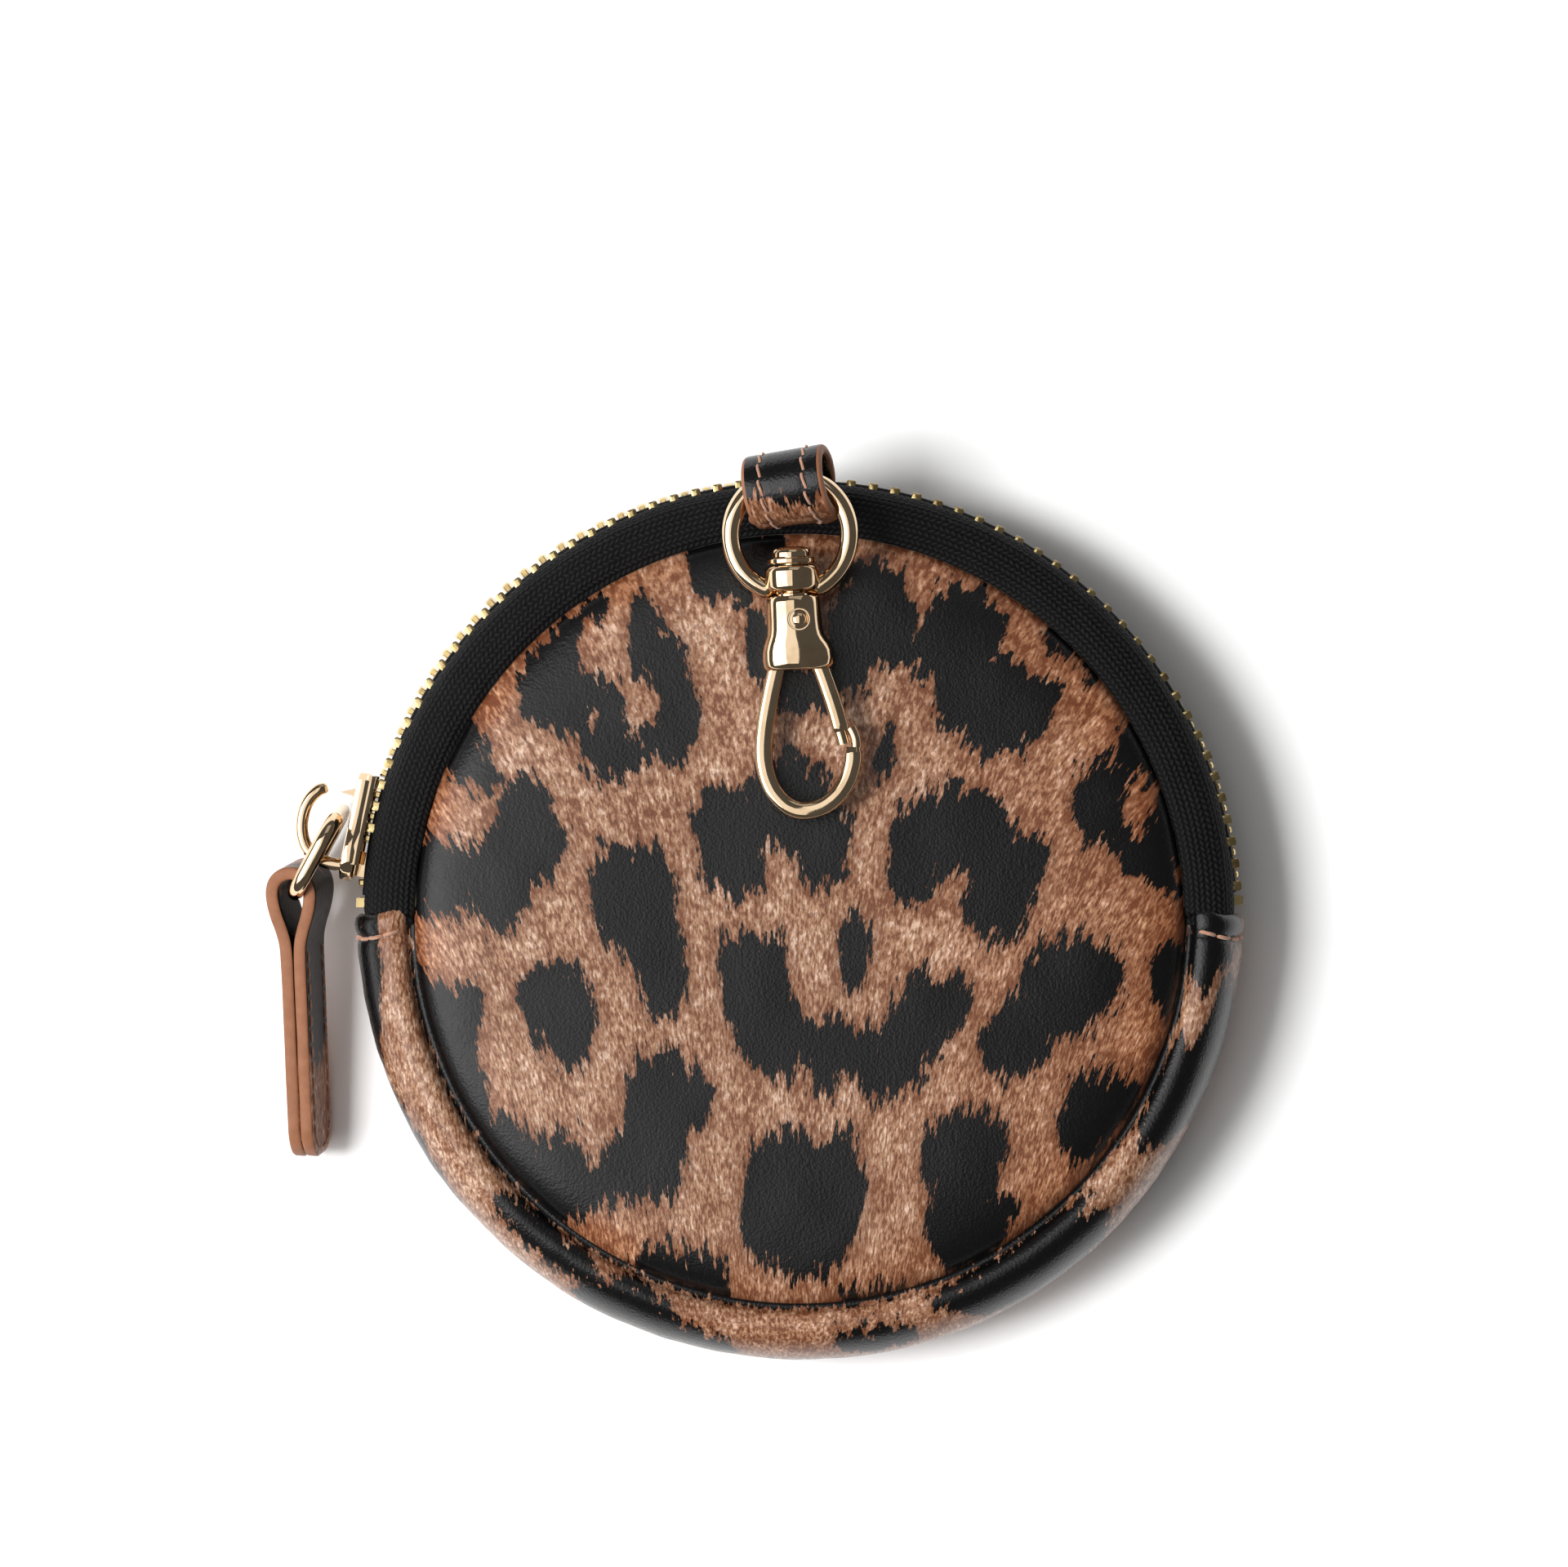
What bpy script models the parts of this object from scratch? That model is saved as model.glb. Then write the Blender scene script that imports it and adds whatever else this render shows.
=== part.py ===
"""A round zipped coin purse of printed leather, lying on its back.

The frame: origin at the centre of the back panel's flat outer face, +Z out of the front panel,
+Y towards the hanging loop and +X to the right. Metres. The purse is two leather discs joined by
a leather gusset round the lower half and by a metal zip round the upper half. A swivel clip hangs
from a leather loop sewn into the zip's front seam.
"""

import math

import bmesh
import bpy
from mathutils import Matrix, Vector

MM = 0.001

# The purse
RIM_RADIUS = 55.0 * MM  # outside of the gusset and of the zip's teeth
SIDE_DEPTH = 7.0 * MM  # how far the gusset and the zip stand out past the panels
PANEL_RADIUS = RIM_RADIUS - SIDE_DEPTH  # each leather disc, out to its rolled edge
THICKNESS = 21.0 * MM
LEATHER = 1.2 * MM
BOARD = 0.8 * MM
CLOTH = 0.5 * MM
GAP = 0.3 * MM  # between pieces that lie face to face
MIDDLE = THICKNESS / 2
SEAM_DROP = 3.4 * MM  # from a panel's flat face to the end of its rolled edge
CROWN = 0.8 * MM  # how far the front panel bulges from its shoulder to its middle
SHOULDER = 2.8 * MM  # from a panel's edge in to where its face starts to roll over
FLAT_EDGE = 3.8 * MM  # from the back panel's edge in to where it lies flat
ROLL = 0.7 * MM  # from a panel's edge in to the middle of its roll
LINING_SEAM = 1.0 * MM  # between the panel's rolled edge and the lining
BOARD_SEAM = 3.2 * MM  # between the panel's rolled edge and the board
FOLD_GAP = 0.15 * MM  # half of the gap between the two halves of the front panel
DISC_STEPS = 48

# The zip
TAPE = 0.6 * MM
TAPE_INSET = 1.25 * MM  # from the rim in to the tape's outside, where the teeth grip it
TAPE_TUCK = 0.6 * MM  # how far the tape goes in under the front panel's edge
TOOTH_PITCH = 2.81 * MM
TOOTH_WIDTH = 1.2 * MM
TOOTH_DEPTH = 2.1 * MM  # through a tooth, from the rim in
TOOTH_INNER = RIM_RADIUS - TOOTH_DEPTH
TOOTH_TIP = 0.7 * MM  # how far a tooth reaches past the middle
TOOTH_ROOT = 2.8 * MM  # from the middle to the back of the row
BEAD_DEPTH = 1.1 * MM  # the cord along the tape's edge that the teeth are clamped on
BEAD_WIDTH = 1.0 * MM
BEAD_INSET = 0.7 * MM  # from the rim in to the cord
BEAD_OUTER = RIM_RADIUS - BEAD_INSET
BEAD_INNER = BEAD_OUTER - BEAD_WIDTH
ZIP_START = 1.0  # degrees, where the tapes leave the right end of the gusset
ZIP_END = 179.0
ROW_START = 3.4
ROW_END = 177.0
GUSSET_END = 0.4  # degrees the gusset runs past the middle line at each side
BOTTOM_STOP = (1.7, 2.9)  # degrees
TOP_STOP = (177.4, 178.6)
TOP_STOP_DEPTH = 1.4 * MM  # from the back of the row

# The slider, at rest near the left end
SLIDER_ANGLE = 168.4
SLIDER_LENGTH = 13.6 * MM
SLIDER_WIDTH = 9.2 * MM
SLIDER_TAIL = 8.0 * MM
PLATE = 1.5 * MM
CHANNEL_ROOM = 0.4 * MM  # between the teeth and the outer plate
TAPE_ROOM = 0.8 * MM  # between the teeth and the inner plate
CHANNEL_INNER = TOOTH_INNER - TAPE_ROOM
CHANNEL_OUTER = RIM_RADIUS + CHANNEL_ROOM
LIP = 1.0 * MM
WEDGE_FROM = 2.9 * MM
WEDGE_TO = 6.0 * MM
WEDGE_WIDTH = 1.2 * MM
HOOK_BAR = 1.4 * MM
HOOK_WIDTH = 2.6 * MM
HOOK_START = CHANNEL_OUTER + PLATE - 0.325 * MM  # inside the outer plate, where the hook grows out of it
LEAF_WIDTH = 1.6 * MM
LEAF_GAP = 0.35 * MM  # between the leaf and the plate

# The pull ring and the leather pull tab
RING_OUT = 1.861 * MM  # from the slider's outer plate to the middle of the bar inside its hook
RING_ALONG = -0.801 * MM  # of that bar, along the zip from the slider's middle
RING_SPAN = Vector((-4.9, -8.9)) * MM  # from there to the bar inside the tab, seen from the front
PULL_WIRE = 0.8 * MM
PULL_CORNER = 1.4 * MM
TAB_ROOM = 0.5 * MM  # between the tab's edge and the ring's corner
RING_LEAN = math.radians(3.0)  # of the ring's upper edge away from the purse
TAB_LEAN = math.radians(12.0)
TAB_WIDTH = 8.6 * MM
PULL_HEIGHT = TAB_WIDTH + 2 * (PULL_CORNER + TAB_ROOM)
TAB_LAYER = 1.6 * MM
TAB_LENGTH = 33.2 * MM
TAB_DROOP = math.radians(8.0)  # of its end, down to what the purse lies on
TAB_EYE = PULL_WIRE + 0.8 * MM

# The hanging loop and the swivel clip
LOOP_WIDTH = 10.2 * MM
STRAP = 1.3 * MM
RUNNING = 0.15 * MM
RING_RADIUS = 7.25 * MM
RING_WIRE = 1.15 * MM
RING_FLAT = 1.85 * MM - RING_RADIUS  # where the ring runs straight through its collar
RING_PIVOT = RING_RADIUS - RING_WIRE  # from the ring's middle to where it turns in the loop
LOOP_INNER = 2 * RING_WIRE + 0.7 * MM
PIN_RADIUS = 1.3 * MM
PIN_HEAD = 1.2 * MM  # how far the pin's head stands out round its shank
PIN_HEAD_HEIGHT = 1.1 * MM
WASHER_EDGE = 1.8 * MM  # how far the washer stands out round the shank
WASHER = 0.7 * MM
COLLAR_RADIUS = 3.4 * MM
COLLAR_TOP = RING_FLAT + RING_WIRE + 0.55 * MM
COLLAR_LOW = RING_FLAT - RING_WIRE - 0.35 * MM
HOOK_TOP = COLLAR_LOW - RUNNING
HOOK_DEPTH = 3.3 * MM  # half the depth of the hook's body
HOOK_WIRE = 1.05 * MM
RIVET_RADIUS = 0.85 * MM
RIVET = Vector((0.6 * MM, HOOK_TOP - 3.35 * MM, 0.0))
EYE_RADIUS = RIVET_RADIUS + RUNNING + 0.9 * MM  # of the gate, round the rivet
SPRING_WIRE = 0.25 * MM
CLIP_CENTRE = Vector((-1.2 * MM, PANEL_RADIUS - 1.0 * MM, THICKNESS + HOOK_DEPTH + 0.2 * MM))
CLIP_TURN = math.radians(2.7)



def clear_scene():
    for old in list(bpy.data.objects):
        bpy.data.objects.remove(old)


def new_collection(name):
    collection = bpy.data.collections.new(name)
    bpy.context.scene.collection.children.link(collection)
    return collection


def make_material(name, color, roughness, metallic=0.0):
    material = bpy.data.materials.new(name)
    material.use_nodes = True
    shader = material.node_tree.nodes["Principled BSDF"]
    shader.inputs["Base Color"].default_value = (*color, 1.0)
    shader.inputs["Roughness"].default_value = roughness
    shader.inputs["Metallic"].default_value = metallic
    material.diffuse_color = (*color, 1.0)
    return material


clear_scene()
PARTS = new_collection("coin_purse")
CUTTERS = new_collection("cutters")
CUTTERS.hide_render = True
PRINTED_LEATHER = make_material("printed_leather", (0.30, 0.16, 0.09), 0.45)
LINING = make_material("lining", (0.02, 0.02, 0.022), 0.9)
FIBREBOARD = make_material("fibreboard", (0.45, 0.33, 0.22), 0.8)
TAPE_CLOTH = make_material("zip_tape", (0.012, 0.012, 0.014), 0.85)
BRASS = make_material("brass", (0.78, 0.62, 0.25), 0.25, 1.0)
GOLD = make_material("pale_gold", (0.87, 0.68, 0.45), 0.12, 1.0)


def add_object(name, mesh, material=None, smooth=30.0):
    """A new object in the purse's collection, or in the cutters' if it has no material."""
    made = bpy.data.objects.new(name, mesh)
    if material is None:
        CUTTERS.objects.link(made)
        made.hide_render = True
        made.display_type = "WIRE"
        return made
    PARTS.objects.link(made)
    mesh.materials.append(material)
    mesh.shade_smooth()
    mesh.set_sharp_from_angle(angle=math.radians(smooth))
    return made


def mesh_from(bm, name):
    bmesh.ops.recalc_face_normals(bm, faces=bm.faces)
    mesh = bpy.data.meshes.new(name)
    bm.to_mesh(mesh)
    bm.free()
    return mesh


def boolean(target, cutter, operation="DIFFERENCE"):
    step = target.modifiers.new(operation.lower(), "BOOLEAN")
    step.operation = operation
    step.object = cutter


def box(name, low, high):
    """A cutter."""
    bm = bmesh.new()
    size = Vector(high) - Vector(low)
    place = Matrix.Translation((Vector(low) + Vector(high)) / 2)
    bmesh.ops.create_cube(bm, size=1.0, matrix=place @ Matrix.Diagonal((*size, 1.0)))
    return add_object(name, mesh_from(bm, name))


def rod(name, start, end, radius, material=None, sides=16):
    """A cylinder from one point to another."""
    start, end = Vector(start), Vector(end)
    bm = bmesh.new()
    turn = (end - start).to_track_quat("Z", "Y").to_matrix().to_4x4()
    place = Matrix.Translation((start + end) / 2) @ turn
    bmesh.ops.create_cone(
        bm, cap_ends=True, segments=sides, radius1=radius, radius2=radius,
        depth=(end - start).length, matrix=place,
    )
    return add_object(name, mesh_from(bm, name), material)


def wire(name, points, radius, material=None, cyclic=False, sides=8):
    """A round bar along points, made a mesh so that it can be joined and cut."""
    curve = bpy.data.curves.new(name, "CURVE")
    curve.dimensions = "3D"
    curve.bevel_depth = radius
    curve.bevel_resolution = sides // 2 - 2
    curve.use_fill_caps = True
    spline = curve.splines.new("POLY")
    spline.points.add(len(points) - 1)
    for place, point in zip(spline.points, points):
        place.co = (*point, 1.0)
    spline.use_cyclic_u = cyclic
    guide = bpy.data.objects.new(name + "_path", curve)
    CUTTERS.objects.link(guide)
    bpy.context.view_layer.update()
    graph = bpy.context.evaluated_depsgraph_get()
    mesh = bpy.data.meshes.new_from_object(guide.evaluated_get(graph))
    bpy.data.objects.remove(guide)
    mesh.name = name
    bm = bmesh.new()
    bm.from_mesh(mesh)
    bmesh.ops.remove_doubles(bm, verts=bm.verts, dist=0.00001)
    bmesh.ops.recalc_face_normals(bm, faces=bm.faces)
    bm.to_mesh(mesh)
    bm.free()
    mesh.materials.clear()
    return add_object(name, mesh, material)


def prism(name, outlines, half_depth, matrix, material=None):
    """A flat outline, with any holes, thickened both ways along its normal and placed by matrix."""
    curve = bpy.data.curves.new(name, "CURVE")
    curve.dimensions = "2D"
    curve.fill_mode = "BOTH"
    curve.extrude = half_depth
    for outline in outlines:
        spline = curve.splines.new("POLY")
        spline.points.add(len(outline) - 1)
        for place, (x, y) in zip(spline.points, outline):
            place.co = (x, y, 0.0, 1.0)
        spline.use_cyclic_u = True
    guide = bpy.data.objects.new(name + "_outline", curve)
    CUTTERS.objects.link(guide)
    bpy.context.view_layer.update()
    graph = bpy.context.evaluated_depsgraph_get()
    mesh = bpy.data.meshes.new_from_object(guide.evaluated_get(graph))
    bpy.data.objects.remove(guide)
    mesh.name = name
    bm = bmesh.new()
    bm.from_mesh(mesh)
    bmesh.ops.remove_doubles(bm, verts=bm.verts, dist=0.00001)
    bmesh.ops.recalc_face_normals(bm, faces=bm.faces)
    bmesh.ops.transform(bm, matrix=matrix, verts=bm.verts)
    bm.to_mesh(mesh)
    bm.free()
    mesh.materials.clear()
    return add_object(name, mesh, material)


def inset(line, depth):
    """line moved by depth towards the inside of the purse. It runs from the front round to the back, and a point on
    the axis stays on it."""
    moved = []
    for i, (r, z) in enumerate(line):
        before, after = line[max(i - 1, 0)], line[min(i + 1, len(line) - 1)]
        along = Vector((after[0] - before[0], after[1] - before[1])).normalized()
        across = along.y * depth if r > 0.0 else 0.0
        moved.append((r + across, z - along.x * depth))
    return moved


def sheet_outline(line, depth, thickness):
    """The closed section of a sheet that starts depth under line."""
    return inset(line, depth) + inset(line, depth + thickness)[::-1]


def turned(name, profile, material, steps=DISC_STEPS):
    """A disc turned about Z from a profile that starts and ends on the axis."""
    mesh = bpy.data.meshes.new(name)
    points = [(r, 0.0, z) for r, z in profile]
    mesh.from_pydata(points, [(i, i + 1) for i in range(len(points) - 1)], [])
    made = add_object(name, mesh, material)
    screw = made.modifiers.new("turn", "SCREW")
    screw.steps = steps
    screw.render_steps = steps
    screw.use_merge_vertices = True
    screw.merge_threshold = 0.00001
    return made


def swept(name, section_at, stops, material):
    """A band round Z lofted through closed sections: stops lists (degrees, kind), section_at(kind) is (r, z) points."""
    bm = bmesh.new()
    rings = []
    for degrees, kind in stops:
        a = math.radians(degrees)
        cos, sin = math.cos(a), math.sin(a)
        rings.append([bm.verts.new((r * cos, r * sin, z)) for r, z in section_at(kind)])
    for low, high in zip(rings, rings[1:]):
        count = len(low)
        for i in range(count):
            j = (i + 1) % count
            bm.faces.new((low[i], low[j], high[j], high[i]))
    bm.faces.new(rings[0])
    bm.faces.new(rings[-1][::-1])
    return add_object(name, mesh_from(bm, name), material)


def even_stops(start, end, steps, kind=None):
    return [(start + (end - start) * i / steps, kind) for i in range(steps + 1)]


def mirrored(line):
    """The same section line on the other side of the middle, so that front and back match."""
    return [(r, THICKNESS - z) for r, z in line]


def lofted(name, sections, material, sides=20):
    """A closed body through ellipses along Y. sections lists (y, middle x, half width, half thickness)."""
    bm = bmesh.new()
    rings = []
    for y, middle, half_x, half_z in sections:
        ring = []
        for i in range(sides):
            a = 2 * math.pi * (i + 0.5) / sides
            ring.append(bm.verts.new((middle + half_x * math.cos(a), y, half_z * math.sin(a))))
        rings.append(ring)
    for low, high in zip(rings, rings[1:]):
        for i in range(sides):
            j = (i + 1) % sides
            bm.faces.new((low[i], low[j], high[j], high[i]))
    bm.faces.new(rings[0][::-1])
    bm.faces.new(rings[-1])
    return add_object(name, mesh_from(bm, name), material)


# The two discs. A section line runs from the front middle, over the rim, to the back middle.

def front_line():
    top = THICKNESS
    shoulder = top - CROWN
    return [
        (0.0, top), (PANEL_RADIUS / 2, top - CROWN / 4), (PANEL_RADIUS - 8 * MM, top - 0.5 * MM),
        (PANEL_RADIUS - SHOULDER, shoulder), (PANEL_RADIUS - ROLL, shoulder - 0.9 * MM),
        (PANEL_RADIUS, top - SEAM_DROP),
    ]


def back_line():
    return [
        (PANEL_RADIUS, SEAM_DROP), (PANEL_RADIUS - ROLL, 1.2 * MM), (PANEL_RADIUS - SHOULDER, 0.2 * MM),
        (PANEL_RADIUS - FLAT_EDGE, 0.0), (0.0, 0.0),
    ]


def flat_disc(radius, low, high):
    return [(0.0, high), (radius, high), (radius, low), (0.0, low)]


def cut_in_halves(name, profile, material):
    """The front of the purse bends across its middle, so each of its discs is a lower and an upper half."""
    for half, low, high in (("lower", -FOLD_GAP, 1.0), ("upper", -1.0, FOLD_GAP)):
        made = turned(f"{name}_{half}", profile, material)
        cutter = box(f"{name}_{half}_cut", (-1.0, low, -1.0), (1.0, high, 1.0))
        boolean(made, cutter)


def make_discs():
    line = front_line()
    cut_in_halves("front_panel", line + inset(line, LEATHER)[::-1], PRINTED_LEATHER)
    board_top = THICKNESS - CROWN - LEATHER - GAP
    board_radius = PANEL_RADIUS - LEATHER - BOARD_SEAM
    cut_in_halves("front_board", flat_disc(board_radius, board_top - BOARD, board_top), FIBREBOARD)
    lining_top = board_top - BOARD - GAP
    lining_radius = PANEL_RADIUS - LEATHER - LINING_SEAM
    cut_in_halves("front_lining", flat_disc(lining_radius, lining_top - CLOTH, lining_top), LINING)
    line = back_line()
    turned("back_panel", inset(line, LEATHER)[::-1] + line, PRINTED_LEATHER)
    board_low = LEATHER + GAP
    turned("back_board", flat_disc(board_radius, board_low, board_low + BOARD), FIBREBOARD)
    lining_low = board_low + BOARD + GAP
    turned("back_lining", flat_disc(lining_radius, lining_low, lining_low + CLOTH), LINING)


# The gusset round the lower half

def gusset_line():
    top = THICKNESS - SEAM_DROP
    upper = [
        (PANEL_RADIUS + GAP, top - 0.3 * MM), (PANEL_RADIUS + 2.4 * MM, top + 0.2 * MM),
        (RIM_RADIUS - 2.4 * MM, top - 0.9 * MM), (RIM_RADIUS - 0.6 * MM, top - 3.5 * MM), (RIM_RADIUS, MIDDLE),
    ]
    return upper + mirrored(upper)[-2::-1]


def make_gusset():
    line = gusset_line()
    stops = even_stops(180.0 - GUSSET_END, 360.0 + GUSSET_END, 44)
    leather = sheet_outline(line, 0.0, LEATHER)
    swept("bottom_gusset", lambda kind: leather, stops, PRINTED_LEATHER)
    outer, inner = inset(line, LEATHER + GAP), inset(line, LEATHER + GAP + CLOTH)
    cloth = outer[1:-1] + inner[-2:0:-1]
    swept("gusset_lining", lambda kind: cloth, even_stops(180.6, 359.4, 36), LINING)


# The zip round the upper half

def tape_line():
    top = THICKNESS - SEAM_DROP
    return [
        (PANEL_RADIUS - TAPE_TUCK, top - 0.35 * MM), (PANEL_RADIUS + 2.8 * MM, top - TAPE),
        (RIM_RADIUS - 2.2 * MM, top - 1.0 * MM), (RIM_RADIUS - 1.4 * MM, top - 2.0 * MM),
        (RIM_RADIUS - TAPE_INSET, MIDDLE + TOOTH_ROOT + GAP),
    ]


def tooth_sections(front):
    """(section of the bead, section of a tooth) of the front row or the back row."""
    side = 1 if front else -1
    root = MIDDLE + side * TOOTH_ROOT
    bead = root - side * BEAD_DEPTH
    tip = MIDDLE - side * TOOTH_TIP
    corners = [(BEAD_INNER, root), (BEAD_OUTER, root), (BEAD_OUTER, bead), (BEAD_INNER, bead)]
    tooth = [(TOOTH_INNER, root), (RIM_RADIUS, root), (RIM_RADIUS, tip), (TOOTH_INNER, tip)]
    return corners, tooth


def tooth_stops(first):
    """The bead from one end of the row to the other, with a tooth at each pitch. The slider's wedge parts the
    rows, so the teeth inside it are left out."""
    pitch = math.degrees(TOOTH_PITCH / RIM_RADIUS)
    half = math.degrees(TOOTH_WIDTH / RIM_RADIUS) / 2
    wedge_low = SLIDER_ANGLE + math.degrees(WEDGE_FROM / RIM_RADIUS) - 0.4
    wedge_high = SLIDER_ANGLE + math.degrees(WEDGE_TO / RIM_RADIUS) + 0.4
    stops = [(ROW_START, "bead")]
    middle = ROW_START + first
    while middle + half < ROW_END:
        if wedge_low < middle + half and middle - half < wedge_high:
            stops += [(middle, "bead")]
        else:
            stops += [(middle - half, "bead"), (middle - half, "tooth")]
            stops += [(middle + half, "tooth"), (middle + half, "bead")]
        middle += pitch
    stops += [(ROW_END, "bead")]
    return stops


def make_zip():
    line = tape_line()
    stops = even_stops(ZIP_START, ZIP_END, 44)
    front = sheet_outline(line, 0.0, TAPE)
    back = mirrored(front)
    swept("front_zip_tape", lambda kind: front, stops, TAPE_CLOTH)
    swept("back_zip_tape", lambda kind: back, stops, TAPE_CLOTH)
    pitch = math.degrees(TOOTH_PITCH / RIM_RADIUS)
    for name, is_front, first in (("front_tooth_row", True, 0.8), ("back_tooth_row", False, 0.8 + pitch / 2)):
        bead, tooth = tooth_sections(is_front)
        kinds = {"bead": bead, "tooth": tooth}
        swept(name, kinds.get, tooth_stops(first), BRASS)
    bottom = [(TOOTH_INNER, 2), (RIM_RADIUS, 2), (RIM_RADIUS, -2), (TOOTH_INNER, -2)]
    block = [(r, MIDDLE + sign / 2 * TOOTH_ROOT) for r, sign in bottom]
    swept("bottom_stop", lambda kind: block, even_stops(*BOTTOM_STOP, 1), BRASS)
    for name, side in (("front_top_stop", 1), ("back_top_stop", -1)):
        low, high = MIDDLE + side * (TOOTH_ROOT - TOP_STOP_DEPTH), MIDDLE + side * TOOTH_ROOT
        corners = [(TOOTH_INNER, high), (RIM_RADIUS, high), (RIM_RADIUS, low), (TOOTH_INNER, low)]
        swept(name, lambda kind, corners=corners: corners, even_stops(*TOP_STOP, 1), BRASS)


# The slider. Its own frame has X away from the purse's middle and Y towards the zip's closed end.

def slider_outline(inset_by=0.0):
    """The plate's outline as (along, across) points: wide shoulders and a narrower tail."""
    long, wide, tail = SLIDER_LENGTH / 2, SLIDER_WIDTH / 2 - inset_by, SLIDER_TAIL / 2 - inset_by
    half = [
        (-long, tail - 1.2 * MM), (-long + 0.8 * MM, tail), (0.5 * MM, tail), (2.6 * MM, wide),
        (long - 2.2 * MM, wide), (long - 0.6 * MM, wide - 1.4 * MM), (long, wide - 3.0 * MM),
    ]
    return half + [(y, -z) for y, z in half[::-1]]


def across_rim(low, high):
    """Places an outline of (along, across) points between two distances from the purse's middle."""
    turn = Matrix(((0, 0, 1, 0), (1, 0, 0, 0), (0, 1, 0, 0), (0, 0, 0, 1)))
    return Matrix.Translation(((low + high) / 2, 0, 0)) @ turn


def slider_frame():
    return Matrix.Translation((0, 0, MIDDLE)) @ Matrix.Rotation(math.radians(SLIDER_ANGLE), 4, "Z")


def make_slider():
    spots = {
        "outer": (CHANNEL_OUTER - LIP, CHANNEL_OUTER + PLATE),
        "inner": (CHANNEL_INNER - PLATE, CHANNEL_INNER + 0.5 * MM),
    }
    body = None
    for name, (low, high) in spots.items():
        plate = prism(
            f"slider_{name}" if body else "slider_body", [slider_outline()], (high - low) / 2,
            across_rim(low, high), None if body else GOLD,
        )
        if body:
            boolean(body, plate, "UNION")
        else:
            body = plate
    groove = prism(
        "slider_groove", [slider_outline(LIP)], (CHANNEL_OUTER - CHANNEL_INNER) / 2,
        across_rim(CHANNEL_INNER, CHANNEL_OUTER),
    )
    tail_run = box(
        "slider_tail_run", (CHANNEL_INNER, -SLIDER_LENGTH, -SLIDER_TAIL / 2 + LIP),
        (CHANNEL_OUTER, 0.0, SLIDER_TAIL / 2 - LIP),
    )
    shoulder_run = box(
        "slider_shoulder_run", (CHANNEL_INNER, 2.6 * MM, -SLIDER_WIDTH / 2 + LIP),
        (CHANNEL_OUTER, SLIDER_LENGTH, SLIDER_WIDTH / 2 - LIP),
    )
    wedge = box(
        "slider_wedge", (CHANNEL_INNER - PLATE / 2, WEDGE_FROM, -WEDGE_WIDTH / 2),
        (CHANNEL_OUTER + PLATE / 2, WEDGE_TO, WEDGE_WIDTH / 2),
    )
    for cutter in (groove, tail_run, shoulder_run):
        boolean(body, cutter)
    boolean(body, wedge, "UNION")
    hook = slider_hook()
    boolean(body, hook, "UNION")
    for made in (body, groove, tail_run, shoulder_run, wedge, hook, bpy.data.objects["slider_inner"]):
        made.matrix_world = slider_frame()


def slider_hook():
    """The open hook on the slider that the pull ring is clipped into."""
    path = [
        (0.0, 4.876), (1.784, 5.14), (3.471, 4.874), (5.104, 3.882), (6.094, 2.043), (6.361, -0.25), (6.037, -2.154),
        (5.181, -3.453), (4.086, -4.086),
    ]
    points = [Vector((HOOK_START + x * MM, y * MM, 0.0)) for x, y in path]
    left, right = [], []
    for i, point in enumerate(points):
        before, after = points[max(i - 1, 0)], points[min(i + 1, len(points) - 1)]
        along = (after - before).normalized()
        side = Vector((-along.y, along.x, 0.0)) * HOOK_BAR / 2
        left.append((point + side).to_2d())
        right.append((point - side).to_2d())
    return prism("slider_hook", [left + right[::-1]], HOOK_WIDTH / 2, Matrix.Identity(4))


def make_hook_leaf():
    """The pointed spring that closes the slider's hook."""
    base = CHANNEL_OUTER + PLATE + LEAF_GAP
    outline = [(base + 1.873 * MM, -3.816 * MM), (base, -3.639 * MM), (base + 0.005 * MM, -4.659 * MM)]
    leaf = prism("hook_leaf", [outline], LEAF_WIDTH / 2, Matrix.Identity(4), GOLD)
    leaf.matrix_world = slider_frame()


def tab_axes():
    """(along, across, up) of the tab: it droops along its length and leans away from the purse."""
    along = Vector((0.03, -math.cos(TAB_DROOP), -math.sin(TAB_DROOP))).normalized()
    up = Vector((-math.sin(TAB_LEAN), 0.0, math.cos(TAB_LEAN)))
    up = (up - along * up.dot(along)).normalized()
    return along, up.cross(along), up


def ring_near():
    """The middle of the bar inside the slider's hook."""
    return slider_frame() @ Vector((CHANNEL_OUTER + PLATE + RING_OUT, RING_ALONG, 0.0))


def ring_axes():
    """(span from bar to bar, direction of the bars). The bars tip with the tab that hangs on one of them, so the
    far bar lies lower."""
    bars = Vector((-math.sin(RING_LEAN), tab_axes()[2].y, 1.0)).normalized()
    drop = (RING_SPAN.x * bars.x + RING_SPAN.y * bars.y) / bars.z
    return Vector((*RING_SPAN, -drop)), bars


def rounded_rectangle(length, height, corner, steps=3):
    """Points round a rectangle from its near bar, which is centred on the origin."""
    points = []
    for cx, cy, start in ((length - corner, height / 2 - corner, 0), (corner, height / 2 - corner, 90),
                          (corner, corner - height / 2, 180), (length - corner, corner - height / 2, 270)):
        for i in range(steps + 1):
            a = math.radians(start + 90 * i / steps)
            points.append((cx + corner * math.cos(a), cy + corner * math.sin(a)))
    return points


def make_pull_ring():
    span, up = ring_axes()
    along = span.normalized()
    outline = rounded_rectangle(span.length, PULL_HEIGHT, PULL_CORNER)
    ring = wire("pull_ring", [along * x + up * y for x, y in outline], PULL_WIRE, GOLD, cyclic=True)
    ring.location = ring_near()


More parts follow.
